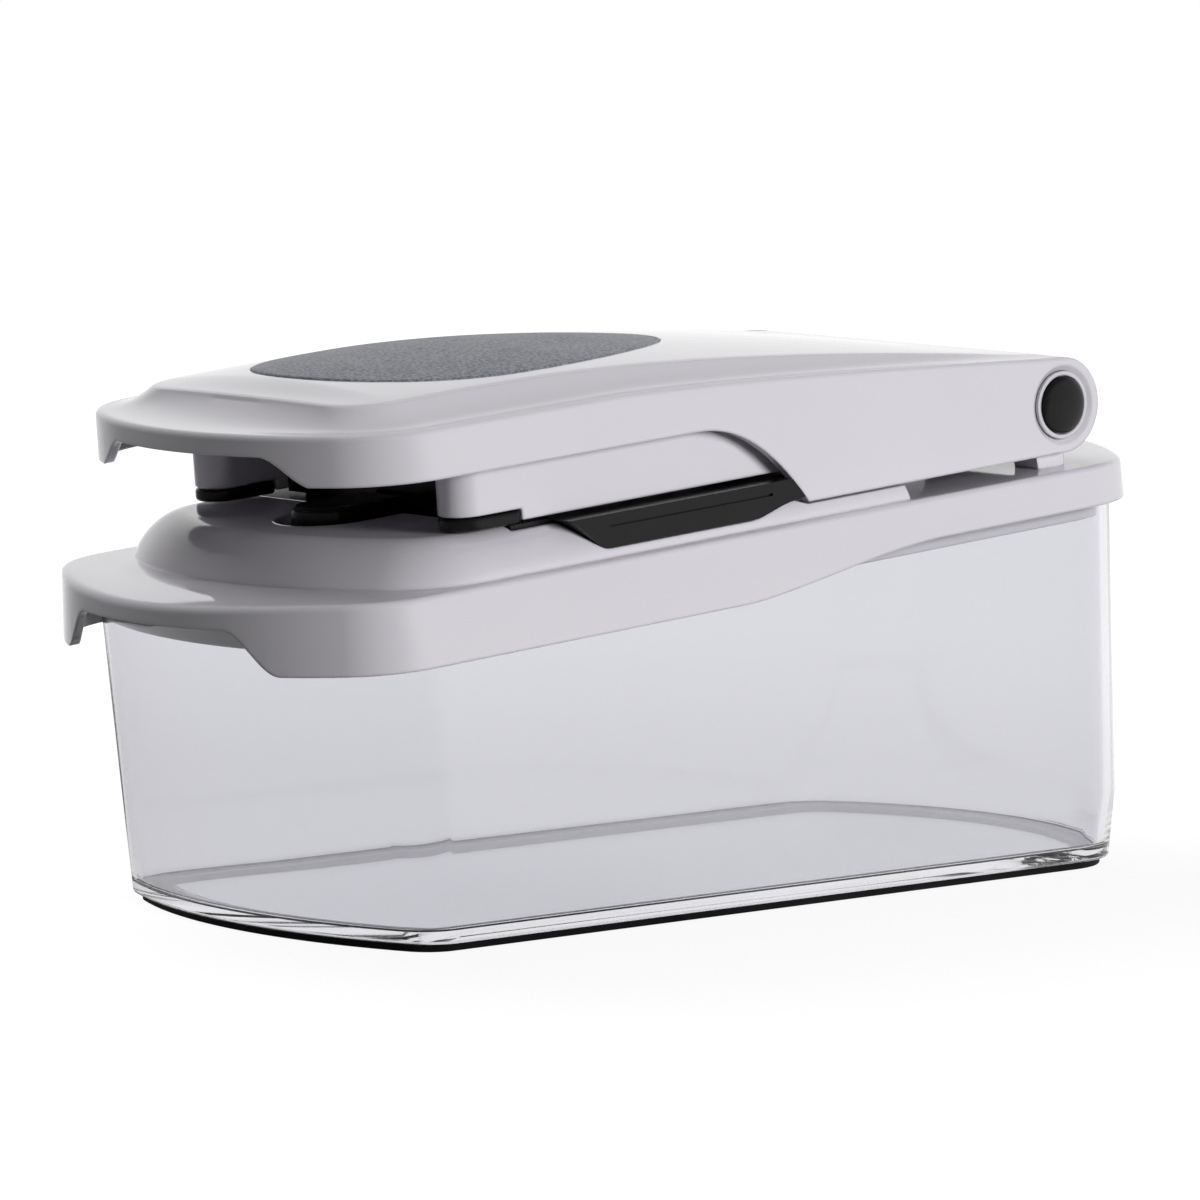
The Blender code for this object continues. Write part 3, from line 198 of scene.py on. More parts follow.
DROOP_START = -0.075

# Soft pad let into the arm
PAD_CENTRE = -0.048
PAD_HALF_LENGTH = 0.053
PAD_HALF_WIDTH = 0.0355
PAD_TAPER = 0.26
PAD_RINGS = (0.1, 0.25, 0.4, 0.55, 0.7, 0.82, 0.92, 1.0)
PAD_THICKNESS = 0.0014
PAD_PROUD = 0.0003
PAD_SWELL = 0.0012
PAD_EDGE = 0.0006

# Pusher under the arm
PUSHER_FRONT = -0.0937
PUSHER_REAR = 0.004
PUSHER_WALL_CENTRE = 0.0446
PUSHER_WALL = 0.012
PUSHER_BOTTOM = 0.0113
PUSHER_TOP = 0.0295
PUSHER_ROOF = 0.003
PUSHER_REAR_WALL = 0.007
CAP_FOOT_LENGTH = 0.0174
CAP_FOOT_HEIGHT = 0.003
FOOT_ROUND = 0.0009
PEG_SIDE = 0.0102
PEG_TIP = 0.0055
PEG_PLATE = 0.0035
COMB_THICKNESS = 0.0023
COMB_CLEARANCE = 0.0004
COMB_APRON_BOTTOM = 0.0109
COMB_APRON = 0.002
BOSS_RADIUS = 0.0045

# How far a cutter reaches past the face it cuts, and past the whole piece
PAST = 0.001
FAR = 0.03

# Fineness of arcs and sides
ARC_STEPS = 12
SIDE_STEPS = 20
DECK_STEPS = 14
ROUND_STEPS = 96
CROWN_STEPS = 16
SWEEP_STEPS = 20
NOSE_STEPS = 20
END_STEPS = 40
DOME_STEPS = 10
EDGE_STEPS = 4
COVE_STEPS = 8

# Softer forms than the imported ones: edges, the cove under the ridge, the grip's groove
COVE_POWER = 2.1
COVE_END = 0.975
RIDGE_EDGE = ((0.0, 0.0003), (0.0006, 0.0001), (0.0014, 0.0))
MOUTH_EDGE = 0.0006
INNER_EDGE = 0.0014
FOOT_RING_EDGE = 0.0004
PLASTIC_EDGE = 0.0004
GROOVE_DEPTH = 0.0008
GROOVE_WIDTH = 0.0006
GROOVE_HEIGHT = 0.0073
SOFT_EDGE = 0.0010
SMOOTH_ANGLE = 32

# The photograph's camera, fitted to the part: angles, distance to AIM, lens and sensor in mm
VIEW_ROUND = math.radians(40.09)
VIEW_DOWN = math.radians(6.41)
VIEW_DISTANCE = 1.75174
AIM = Vector((0.0, 0.0, 0.06709))
LENS = 225.36
SENSOR = 36.0

# Studio: floor, surround and soft lamps as (name, place, size, power)
FLOOR_REACH = 4.0
FLOOR_WHITE = (0.16, 0.16, 0.16)
GLOW_NEAR = 0.90
GLOW_FAR = 1.0
GLOW_START = 0.16
GLOW_END = 0.55
SKY = 0.15
CEILING = 0.1
CEILING_START = 0.3
CEILING_END = 0.75
FRONT = 0.2
FRONT_START = -0.3
FRONT_END = 0.4
LAMPS = (
    ("lamp_behind", (-0.1, 1.15, 1.42), 1.3, 19.0),
    ("lamp_near", (0.3, -1.8, 0.46), 0.7, 25.5),
)

# Reflections and refractions to follow, enough for light caught in the container's thick base
BOUNCES = 20

# Colours
WHITE = (0.72, 0.70, 0.75)
CLEAR = (0.78, 0.78, 0.81)
CLEAR_INDEX = 1.49
BLACK = (0.007, 0.007, 0.008)
RUBBER = (0.006, 0.006, 0.007)
PAD_GREY = (0.22, 0.227, 0.26)
PAD_DARK = (0.14, 0.144, 0.167)
PAD_LIGHT = (0.32, 0.329, 0.363)
STEEL = (0.62, 0.62, 0.61)

# Worked out from the sizes above: the container's mouth, the blade window, the cassette's front
# and its pocket, the faces of hinge posts and bush flange, the pusher's feet and roof
MOUTH = RIM_TOP - WALL - 1.5 * GAP
GRID_FRONT = GRID_REAR - CELLS_LONG * CELL
GRID_HALF_WIDTH = CELLS_ACROSS * CELL / 2
FRAME_FRONT = GRID_FRONT - FRAME_BORDER
POCKET_FRONT = FRAME_FRONT - 2 * GAP
POCKET_REAR = FRAME_REAR + 2 * GAP
POST_OUTER = ARM_HALF_WIDTH - WALL - 4 * GAP
POST_INNER = POST_OUTER - POST_WIDTH
FLANGE_FACE = ARM_HALF_WIDTH - FLANGE_THICKNESS - GAP / 2
FOOT_TOP = DECK_HEIGHT + GAP + CAP_FOOT_HEIGHT
ROOF_FRONT = GRID_FRONT - 3 * GAP

# Places in the frame
HINGE = Vector((HINGE_X, 0.0, HINGE_Z))
LID_PLACE = Matrix.Translation((0.0, 0.0, LID_HEIGHT)) @ Matrix.Rotation(-LID_TILT, 4, "Y")

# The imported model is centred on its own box; the foot ring gives how far it was moved
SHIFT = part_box("foot_ring")[0].x - BASE_FRONT - FOOT_INSET
ON_TABLE = Matrix.Translation((SHIFT, 0.0, 0.0))
ON_LID = ON_TABLE @ LID_PLACE

cutters = []
looks = {}


def add(data):
    """Put a mesh, lamp or camera in the scene, under its own name."""
    item = bpy.data.objects.new(data.name, data)
    bpy.context.scene.collection.objects.link(item)
    return item


def combine(item, tool, operation="DIFFERENCE"):
    """Cut, join or intersect an object with a mesh or another object, removed at the end."""
    if isinstance(tool, bpy.types.Mesh):
        tool = add(tool)
    cutters.append(tool)
    boolean = item.modifiers.new(tool.name, "BOOLEAN")
    boolean.operation = operation
    boolean.solver = "EXACT"
    boolean.object = tool
    return item


def bevel(item, width, segments=3, angle=35):
    """Round the sharp edges of an object."""
    rounding = item.modifiers.new("rounding", "BEVEL")
    rounding.width = width
    rounding.segments = segments
    rounding.limit_method = "ANGLE"
    rounding.angle_limit = math.radians(angle)
    return item


def settle(item, body, look, node):
    """Apply a piece's modifiers, put it in the frame with its material, and let it ride."""
    graph = bpy.context.evaluated_depsgraph_get()
    mesh = bpy.data.meshes.new_from_object(item.evaluated_get(graph))
    item.modifiers.clear()
    mesh.transform(ON_TABLE if body == "container" else ON_LID)
    item.data = mesh
    mesh.materials.clear()
    mesh.materials.append(looks[look])
    mesh.shade_smooth()
    mesh.set_sharp_from_angle(angle=math.radians(SMOOTH_ANGLE))
    weighted = item.modifiers.new("flat faces", "WEIGHTED_NORMAL")
    weighted.keep_sharp = True
    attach(item, body)
    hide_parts(node)


def mesh_from(bm, name):
    """Turn a bmesh into a mesh whose faces point outwards."""
    bmesh.ops.recalc_face_normals(bm, faces=bm.faces)
    mesh = bpy.data.meshes.new(name)
    bm.to_mesh(mesh)
    bm.free()
    return mesh


def box(name, first, second):
    """A box between any two of its opposite corners."""
    low, high = Vector([*map(min, first, second)]), Vector([*map(max, first, second)])
    bm = bmesh.new()
    bmesh.ops.create_cube(bm, size=1.0)
    bmesh.ops.scale(bm, verts=bm.verts, vec=high - low)
    bmesh.ops.translate(bm, verts=bm.verts, vec=(low + high) / 2)
    return mesh_from(bm, name)


def block(name, ends, half, levels):
    """A box centred across the width: its two ends along x, half its width, its two heights."""
    return box(name, (ends[0], -half, levels[0]), (ends[1], half, levels[1]))


def prism(name, outline, start, end, axis="z"):
    """A flat outline drawn out along an axis: (x, y) along z, (x, z) along y, (y, z) along x."""
    place = {
        "z": lambda u, v, w: (u, v, w),
        "y": lambda u, v, w: (u, w, v),
        "x": lambda u, v, w: (w, u, v),
    }[axis]
    bm = bmesh.new()
    face = bm.faces.new([bm.verts.new(place(u, v, start)) for u, v in outline])
    drawn = bmesh.ops.extrude_face_region(bm, geom=[face])
    moved = [g for g in drawn["geom"] if isinstance(g, bmesh.types.BMVert)]
    bmesh.ops.translate(bm, verts=moved, vec=place(0.0, 0.0, end - start))
    return mesh_from(bm, name)


def turned(name, profile, side, closed=False):
    """A round piece about the hinge axis from (radius, y) points; side -1 mirrors it."""
    turns = [2 * math.pi * k / ROUND_STEPS for k in range(ROUND_STEPS)]
    return lofted(name, [
        [(HINGE.x + r * math.cos(turn), side * y, HINGE.z + r * math.sin(turn)) for turn in turns]
        for r, y in profile
    ], closed)


def skin(bm, rings, closed=False):
    """Join a row of rings with equal counts, if closed back to the first; returns their corners."""
    loops = [[bm.verts.new(point) for point in ring] for ring in rings]
    pairs = list(zip(loops, loops[1:]))
    if closed:
        pairs.append((loops[-1], loops[0]))
    for lower, upper in pairs:
        for i in range(len(lower)):
            j = (i + 1) % len(lower)
            bm.faces.new((lower[i], lower[j], upper[j], upper[i]))
    return loops


def lofted(name, rings, closed=False):
    """A skin over rings, with flat caps unless it is closed."""
    bm = bmesh.new()
    loops = skin(bm, rings, closed)
    if not closed:
        bm.faces.new(loops[0])
        bm.faces.new(loops[-1])
    return mesh_from(bm, name)


def ease(value):
    """A smooth step from 0 to 1."""
    value = min(max(value, 0.0), 1.0)
    return value * value * (3 - 2 * value)


def mix(a, b, share):
    """The value that lies a share of the way from a to b."""
    return a + (b - a) * share


def arc(centre, radius, start, end, steps):
    """Points on an arc, angles in radians."""
    return [
        (
            centre[0] + radius * math.cos(mix(start, end, k / steps)),
            centre[1] + radius * math.sin(mix(start, end, k / steps)),
        )
        for k in range(steps + 1)
    ]


def bowed_end(end, bow, corner, half_width, facing):
    """Half of a bowed end, from its middle to the +Y side: a shallow arc, then a corner arc."""
    reach = half_width - corner
    drop = math.sqrt((bow - corner) ** 2 - reach ** 2)
    centre = (end - facing * bow, 0.0)
    turn = math.atan2(reach, drop)
    start = 0.0 if facing > 0 else math.pi
    meet = turn if facing > 0 else math.pi - turn
    points = arc(centre, bow, start, meet, ARC_STEPS)
    turn_centre = (centre[0] + facing * drop, reach)
    return points + arc(turn_centre, corner, meet, math.pi / 2, ARC_STEPS)[1:]


def bowed_outline(front, rear, half_width, bows, corners, inset):
    """A plan outline with bowed ends, rounded corners and straight sides, from the front
    centre round the +Y side to the rear centre and back. Its points are in the same order
    for any sizes, so that outlines can be skinned to each other. bows and corners are the
    front and rear radii."""
    half_width -= inset
    corners = [max(corner - inset, GAP) for corner in corners]
    half = bowed_end(front + inset, bows[0] - inset, corners[0], half_width, -1)
    rear_half = bowed_end(rear - inset, bows[1] - inset, corners[1], half_width, 1)
    side_start, side_end = half[-1][0], rear_half[-1][0]
    for k in range(1, SIDE_STEPS):
        half.append((mix(side_start, side_end, k / SIDE_STEPS), half_width))
    half += reversed(rear_half)
    other = [(x, -y) for x, y in reversed(half[1:-1])]
    return half + other


def at_height(outline, height):
    """Lift a plan outline to a height, which may be a function of x."""
    level = height if callable(height) else lambda _: height
    return [(x, y, level(x)) for x, y in outline]


def on_lid(outline, height):
    """Place a plan outline of the lid plane in the table frame."""
    return [tuple(LID_PLACE @ Vector(point)) for point in at_height(outline, height)]


def base_outline(inset):
    """The container's plan at its foot."""
    return bowed_outline(BASE_FRONT, BASE_REAR, BASE_HALF_WIDTH, BASE_BOWS, BASE_CORNERS, inset)


def belly_outline(inset=0.0):
    """The container's plan where it is longest, above its foot."""
    return bowed_outline(BELLY_FRONT, BELLY_REAR, BASE_HALF_WIDTH, BASE_BOWS, BASE_CORNERS, inset)


def top_outline(inset):
    """The container's plan at its mouth, in the lid plane."""
    return bowed_outline(TOP_FRONT, TOP_REAR, TOP_HALF_WIDTH, TOP_BOWS, TOP_CORNERS, inset)


def rim_outline(inset=0.0):
    """The lid's plan: close round the container but for the lip that reaches out in front."""
    half_width = TOP_HALF_WIDTH + RIM_OVERHANG
    return bowed_outline(RIM_FRONT, RIM_REAR, half_width, RIM_BOWS, RIM_CORNERS, inset)


def wall_section(inset, height):
    """The container wall's plan at a height of the lid plane, between its mouth and belly."""
    to_lid = LID_PLACE.inverted()
    ring = []
    for (x, y), low in zip(top_outline(inset), belly_outline(inset)):
        low = to_lid @ Vector((*low, BELLY_HEIGHT))
        share = (height - MOUTH) / (low.z - MOUTH)
        ring.append((mix(x, low.x, share), mix(y, low.y, share), height))
    return ring


def foot_ring_mesh(name, spread, above):
    """The foot ring's solid, spread sideways and reaching some way above the container's base."""
    outer = base_outline(FOOT_INSET - spread)
    inner = base_outline(FOOT_INSET + FOOT_WIDTH + spread)
    top = FOOT_HEIGHT + above
    corners = (outer, 0.0), (outer, top), (inner, top), (inner, 0.0)
    return lofted(name, [at_height(*corner) for corner in corners], closed=True)


def build_foot_ring():
    """The dark non-slip ring let into the underside of the container."""
    ring = bevel(add(foot_ring_mesh("foot_ring_soft", 0.0, FOOT_SOCKET)), FOOT_RING_EDGE)
    settle(ring, "container", "dark_rubber", "foot_ring")


def quarter(radius):
    """Pairs of inset and drop along a rounded edge, from its side to its flat."""
    for k in range(EDGE_STEPS + 1):
        angle = math.pi / 2 * k / EDGE_STEPS
        yield radius * (1 - math.cos(angle)), radius * (1 - math.sin(angle))


def build_container():
    """The clear container: drafted bowed walls between a level floor and a sloping mouth."""
    floor_top = FOOT_HEIGHT + FLOOR
    outer, inner = [], []
    for inset, rise in reversed(list(quarter(BASE_EDGE))):
        outer.append(at_height(base_outline(inset), FOOT_HEIGHT + rise))
    outer.append(at_height(belly_outline(), BELLY_HEIGHT))
    for inset, drop in quarter(MOUTH_EDGE):
        outer.append(on_lid(top_outline(inset), MOUTH - drop))
    wall = CONTAINER_WALL
    inner.append(on_lid(top_outline(wall - MOUTH_EDGE), MOUTH))
    inner.append(on_lid(top_outline(wall), MOUTH - MOUTH_EDGE))
    inner.append(at_height(belly_outline(wall), BELLY_HEIGHT))
    for inset, rise in quarter(INNER_EDGE):
        inner.append(at_height(base_outline(wall + inset), floor_top + rise))
    container = add(lofted("container_shell", outer + inner))
    combine(container, foot_ring_mesh("foot_groove", GAP, FOOT_SOCKET + GAP))
    settle(container, "container", "clear_plastic", "container")


def sweep(start, end):
    """Points on a smooth S from one point of a profile to another."""
    shares = [k / SWEEP_STEPS for k in range(1, SWEEP_STEPS)]
    (x0, z0), (x1, z1) = start, end
    return [start] + [(mix(x0, x1, share), mix(z0, z1, ease(share))) for share in shares] + [end]


def notch_profile(top, bottom):
    """A lifting notch seen from the front: flat top, S-shaped flanks and open below."""
    edge, foot = NOTCH_HALF_WIDTH, NOTCH_HALF_WIDTH + NOTCH_SWEEP
    flank = sweep((edge, top), (foot, bottom)) + [(foot, bottom - FAR)]
    return flank + [(-y, z) for y, z in reversed(flank)]


def rim_top(x, below=0.0):
    """Height of the rim's top, which bends down at the lip, or of a level below it."""
    share = max(0.0, (RIM_DROOP_START - x) / (RIM_DROOP_START - RIM_FRONT))
    return RIM_TOP - RIM_DROOP * share ** 2 - below


def build_lid_frame():
    """The lid: rim with lifting lip, plug skirt, raised platform, cassette pocket and posts."""
    rings = [at_height(rim_outline(), -RIM_DEPTH_FRONT)]
    for inset, drop in quarter(RIM_ROUND):
        rings.append([(x, y, rim_top(x, drop)) for x, y in rim_outline(RIM_DRAFT + inset)])
    lid = add(crowned_loft("lid_moulding", rings, lambda x, _: rim_top(x)))
    combine(lid, platform_mesh(), "UNION")
    combine(lid, rim_sweep_cutter())
    combine(lid, under_rim_mesh())
    combine(lid, inside_plug_mesh())
    notch = notch_profile(-RIM_NOTCH_DEPTH, -RIM_DEPTH_FRONT)
    combine(lid, prism("rim_notch", notch, RIM_FRONT - WALL, TOP_FRONT - WALL, "x"))
    ends, roof = (DECK_FRONT, POCKET_FRONT - WALL), TONGUE_BOTTOM - GAP - WALL
    combine(lid, platform_hollow("front_hollow", ends, SHOULDER_HALF_WIDTH - WALL, roof))
    ends, roof = (POCKET_REAR + WALL, DECK_REAR), DECK_HEIGHT - WALL
    combine(lid, platform_hollow("rear_hollow", ends, DECK_SIDE_REAR - WALL, roof))
    for side in (-1, 1):
        combine(lid, shoulder_mesh(side))
        combine(lid, behind_shelf_mesh(side))
    for mesh in hinge_post_meshes():
        combine(lid, mesh, "UNION")
    ends, half = (POCKET_FRONT, POCKET_REAR), FRAME_HALF_WIDTH + 2 * GAP
    combine(lid, block("cassette_pocket", ends, half, (FRAME_BOTTOM - GAP, DECK_HEIGHT + FAR)))
    ends = (GRID_FRONT, GRID_REAR)
    combine(lid, block("food_opening", ends, GRID_HALF_WIDTH, (-FAR, DECK_HEIGHT)))
    recess = tongue_outline(TONGUE_RECESS)
    combine(lid, prism("tongue_recess", recess, TONGUE_BOTTOM - GAP, DECK_HEIGHT + FAR))
    radius = BUSH_RADIUS + GAP
    for side in (-1, 1):
        bore = [(radius, POST_INNER - PAST), (radius, POST_OUTER + PAST)]
        combine(lid, turned("post_bore", bore, side))
    settle(lid, "lid", "white_plastic", "lid_frame")


def platform_outline(inset=0.0):
    """The platform's plan on the lid."""
    bows, corners = (DECK_BOW, DECK_BOW), (DECK_CORNER, DECK_CORNER)
    return bowed_outline(DECK_FRONT, DECK_REAR, DECK_HALF_WIDTH, bows, corners, inset)


def platform_mesh():
    """The platform with its swept front and rounded edge, still solid."""
    rings = [at_height(platform_outline(), RIM_TOP - WALL / 2)]
    for k in range(DECK_STEPS + 1):
        angle = math.pi / 2 * k / DECK_STEPS
        inset = DECK_SLOPE * (1 - math.cos(angle)) ** DECK_SLOPE_POWER
        rings.append(at_height(platform_outline(inset), mix(RIM_TOP, DECK_HEIGHT, math.sin(angle))))
    return lofted("platform", rings)


def platform_hollow(name, ends, half, roof):
    """The space under the platform, up to a roof, in front of the cassette pocket or behind."""
    hollow = add(lofted(name, [
        at_height(platform_outline(WALL + DECK_SLOPE / 2), RIM_TOP - 2 * WALL),
        at_height(platform_outline(WALL + DECK_SLOPE), roof),
    ]))
    extent = block("hollow_extent", ends, half, (-RIM_DEPTH_FRONT, RIM_DEPTH_FRONT))
    return combine(hollow, extent, "INTERSECT")


def under_rim_mesh():
    """The space between rim and plug skirt, where the container's wall sits."""
    inset = CONTAINER_WALL + PLUG_CLEARANCE
    open_end = -RIM_DEPTH_FRONT - WALL
    rings = [
        at_height(rim_outline(WALL), open_end),
        at_height(rim_outline(WALL), lambda x: rim_top(x, WALL)),
        wall_section(inset, RIM_TOP - WALL),
        wall_section(inset, open_end),
    ]
    return lofted("under_rim", rings, closed=True)


def inside_plug_mesh():
    """The space inside the plug skirt, and all below the skirt's edge."""
    outer = CONTAINER_WALL + PLUG_CLEARANCE - WALL
    inner = CONTAINER_WALL + PLUG_CLEARANCE + PLUG_WALL
    rings = [
        wall_section(outer, -RIM_DEPTH_FRONT - WALL),
        wall_section(outer, -PLUG_DEPTH),
        wall_section(inner, -PLUG_DEPTH),
        wall_section(inner, RIM_TOP - WALL),
    ]
    return lofted("inside_plug", rings)


def rim_sweep_cutter():
    """What is cut off the outer skirt so that it gets shallower towards the hinge."""
    start = (RIM_SWEEP_START, -RIM_DEPTH_FRONT - GAP)
    end = (RIM_SWEEP_END, -RIM_DEPTH_REAR)
    behind, under = RIM_REAR + FAR, -RIM_DEPTH_FRONT - FAR
    profile = sweep(start, end) + [(behind, end[1]), (behind, under), (start[0], under)]
    width, depth = 2 * TOP_HALF_WIDTH, 2 * RIM_DEPTH_FRONT
    inside = top_outline(GAP)
    core = lofted("plug_core", [at_height(inside, -depth), at_height(inside, depth)])
    return combine(add(prism("rim_sweep", profile, -width, width, "y")), core)


def shoulder_mesh(side):
    """What is cut off one side of the platform: a scallop for the cassette's grip, then the
    shelf under the arm's skirt, then the ledge."""
    high, end = DECK_HEIGHT + FAR, DECK_REAR + DECK_CORNER
    floor = FRAME_BOTTOM - GAP
    front = (GRIP_FRONT - GAP, DECK_HEIGHT + GAP)
    profile = [(front[0], high)] + sweep(front, (GRIP_FRONT + GRIP_SWEEP - GAP, floor))
    profile += sweep((GRIP_REAR - GRIP_REAR_SWEEP, floor), (GRIP_REAR, TOE_HEIGHT))
    profile += [(GRIP_REAR + TOE_FALL, SHELF_HEIGHT), (SHELF_END, SHELF_HEIGHT)]
    profile += [(SHELF_END + GAP, RIM_TOP), (end, RIM_TOP), (end, high)]
    return prism("shoulder", profile, side * SHOULDER_HALF_WIDTH, side * 2 * DECK_HALF_WIDTH, "y")


def behind_shelf_mesh(side):
    """What is cut off the platform behind the shelf, so that its side stands well inside."""
    outer = (DECK_REAR + DECK_CORNER, side * 2 * DECK_HALF_WIDTH, DECK_HEIGHT + FAR)
    return box("behind_shelf", (SHELF_END + GAP, side * DECK_SIDE_REAR, RIM_TOP), outer)


def tongue_outline(grow):
    """The cassette's lifting tongue seen from above, round at its front."""
    radius = TONGUE_HALF_WIDTH + grow
    centre = (FRAME_FRONT - TONGUE_LENGTH + TONGUE_HALF_WIDTH, 0.0)
    root = FRAME_FRONT + FRAME_BORDER / 3
    nose = arc(centre, radius, 1.5 * math.pi, 0.5 * math.pi, NOSE_STEPS)
    return [(root, -radius)] + nose + [(root, radius)]


def hinge_post_meshes():
    """The two posts that carry the arm, each a round head on a neck set a little forward."""
    foot_z = RIM_TOP - WALL / 2
    under_head = HINGE_Z - math.sqrt(POST_RADIUS ** 2 - NECK_REAR_TOP ** 2)
    rear = HINGE_X + NECK_REAR
    neck = [(HINGE_X - NECK_FRONT, foot_z), (HINGE_X - POST_RADIUS, HINGE_Z)]
    neck += [(HINGE_X + NECK_REAR_TOP, under_head)]
    neck += [(rear, HINGE_Z - ARM_END_RADIUS), (rear, foot_z)]
    for side in (-1, 1):
        yield prism("post_neck", neck, side * POST_INNER, side * POST_OUTER, "y")
        yield turned("post_head", [(POST_RADIUS, POST_INNER), (POST_RADIUS, POST_OUTER)], side)


def build_blade_frame():
    """The black cassette: a window frame with side grips, a lifting tongue and blade slots."""
    levels = (FRAME_BOTTOM, FRAME_TOP)
    cassette = add(block("blade_cassette", (FRAME_FRONT, FRAME_REAR), GRIP_HALF_WIDTH, levels))
    for side in (-1, 1):
        for facing in (-1, 1):
            ends = (side * FRAME_HALF_WIDTH, side * 2 * GRIP_HALF_WIDTH)
            combine(cassette, prism("grip_end", beyond_grip(facing), *ends, "y"))
    rings = [at_height(tongue_outline(0.0), TONGUE_BOTTOM)]
    for inset, drop in quarter(TONGUE_ROUND):
        rings.append(at_height(tongue_outline(-inset), TONGUE_TOP - drop))
    combine(cassette, lofted("tongue", rings), "UNION")
    levels = (FRAME_BOTTOM - PAST, FRAME_TOP + PAST)
    combine(cassette, block("blade_window", (GRID_FRONT, GRID_REAR), GRID_HALF_WIDTH, levels))
    for low, high in blade_slots():
        combine(cassette, box("blade_slot", low, high))
    for side in (-1, 1):
        combine(cassette, grip_groove_mesh(side))
    settle(cassette, "lid", "black_plastic", "blade_frame")


def grip_groove_mesh(side):
    """A fine groove along the grip's side face."""
    deep = (GRIP_FRONT + GRIP_SWEEP, side * (GRIP_HALF_WIDTH - GROOVE_DEPTH), GROOVE_HEIGHT)
    rear, top = GRIP_REAR - GRIP_REAR_SWEEP / 2, GROOVE_HEIGHT + GROOVE_WIDTH
    return box("grip_groove", deep, (rear, side * (GRIP_HALF_WIDTH + PAST), top))


def beyond_grip(facing):
    """What lies beyond a grip's front or rear end, seen from the side: the front end sweeps up
    from a flat underside, and the rear end stops short of the arm's skirt."""
    under, over = FRAME_BOTTOM - PAST, FRAME_TOP + PAST
    if facing < 0:
        low = (GRIP_FRONT + GRIP_SWEEP, FRAME_BOTTOM - GAP)
        high = (GRIP_FRONT, FRAME_TOP + GAP)
        far = GRID_FRONT - 2 * FRAME_BORDER
        return [(far, under), (low[0], under)] + sweep(low, high) + [(high[0], over), (far, over)]
    low = (GRIP_REAR - GRIP_REAR_SWEEP, FRAME_BOTTOM - GAP)
    high = (GRIP_REAR, TOE_HEIGHT + GAP)
    profile = [(low[0], under)] + sweep(low, high)
    for k in range(1, ARC_STEPS):
        height = mix(high[1], FRAME_TOP, k / (ARC_STEPS - 1))
        profile.append((arch_x(height) - 3 * GAP, height))
    far = FRAME_REAR + FRAME_BORDER
    return profile + [(profile[-1][0], over), (far, over), (far, under)]


def blade_slots():
    """Two opposite corners of each blade's slot: first of the long blades, then the cross ones."""
    half, root = BLADE_THICKNESS / 2 + GAP, BLADE_ROOT + GAP
    low, high = BLADE_BOTTOM - GAP, BLADE_TOP + GAP
    front, rear, reach = GRID_FRONT - root, GRID_REAR + root, GRID_HALF_WIDTH + root
    for k in range(1, CELLS_ACROSS):
        y = -GRID_HALF_WIDTH + k * CELL
        yield (front, y - half, low), (rear, y + half, high)
    for k in range(1, CELLS_LONG):
        x = GRID_FRONT + k * CELL
        yield (x - half, -reach, low), (x + half, reach, high)


def fall(start, power, high, x):
    """A height that stays level up to start and then falls to the arm's end over the hinge."""
    share = max(0.0, (min(x, HINGE_X) - start) / (HINGE_X - start))
    return high - (high - HINGE_Z - ARM_END_RADIUS) * share ** power


def droop(x):
    """How far the arm's front end bends down."""
    share = max(0.0, (DROOP_START - x) / (DROOP_START - ARM_FRONT))
    return DROOP * share ** 2


def shoulder_height(x):
    """Height of the arm's side edge, just under the ridge where the two meet."""
    return fall(SHOULDER_FALL_START, SHOULDER_FALL_POWER, SHOULDER_HEIGHT, x) - GAP / 2


def ridge_height(x):
    """Height of the edge of the arm's raised top."""
    return fall(RIDGE_FALL_START, RIDGE_FALL_POWER, RIDGE_HEIGHT, x) - droop(x)


def arch_z(share):
    """Height of the skirt's arch a share of the way along it."""
    return mix(ARM_LIP_BOTTOM, ARM_SKIRT_REAR, share ** ARM_ARCH_POWER)


def arch_x(height):
    """Where the skirt's arch comes down to a height."""
    share = (ARM_LIP_BOTTOM - height) / (ARM_LIP_BOTTOM - ARM_SKIRT_REAR)
    return mix(ARM_ARCH_START, ARM_ARCH_END, share ** (1 / ARM_ARCH_POWER))


def arm_outline(inset):
    """The arm's plan: bowed front with round corners, straight sides and a square rear that
    lies past the round end."""
    rear = HINGE_X + 3 * ARM_END_RADIUS
    corners = (ARM_CORNER, 3 * WALL)
    return bowed_outline(ARM_FRONT, rear, ARM_HALF_WIDTH, (ARM_BOW, ARM_REAR_BOW), corners, inset)


def ridge_share(x):
    """How far back x lies between the ridge's front and the hinge."""
    return min(max((x - RIDGE_FRONT) / (HINGE_X - RIDGE_FRONT), 0.0), 1.0)


def ridge_half_width(x):
    """Half the width of the arm's raised top, which spreads towards the hinge."""
    return mix(RIDGE_HALF_WIDTH_FRONT, RIDGE_HALF_WIDTH_REAR, ridge_share(x) ** RIDGE_SPREAD_POWER)


def ridge_outline(inset):
    """The edge of the arm's raised top, in plan."""
    rear = HINGE_X + 3 * ARM_END_RADIUS - 2 * ARM_EDGE_ROUND
    half_width = RIDGE_HALF_WIDTH_FRONT
    bows, corners = (RIDGE_BOW, ARM_REAR_BOW), (RIDGE_CORNER, 3 * WALL)
    outline = bowed_outline(RIDGE_FRONT, rear, half_width, bows, corners, inset)
    return [(x, y * ridge_half_width(x) / half_width) for x, y in outline]


def top_height(x, y):
    """Height of the arm's raised top, crowned across its width but nearly level at its front
    edge and level over the hinge."""
    across = 1 - min(abs(y) / ridge_half_width(x), 1.0) ** 2
    rise = mix(CROWN_FRONT, 1.0, ease((x - RIDGE_FRONT) / CROWN_RISE))
    return ridge_height(x) + CROWN * across * rise * (1 - ridge_share(x) ** 2)


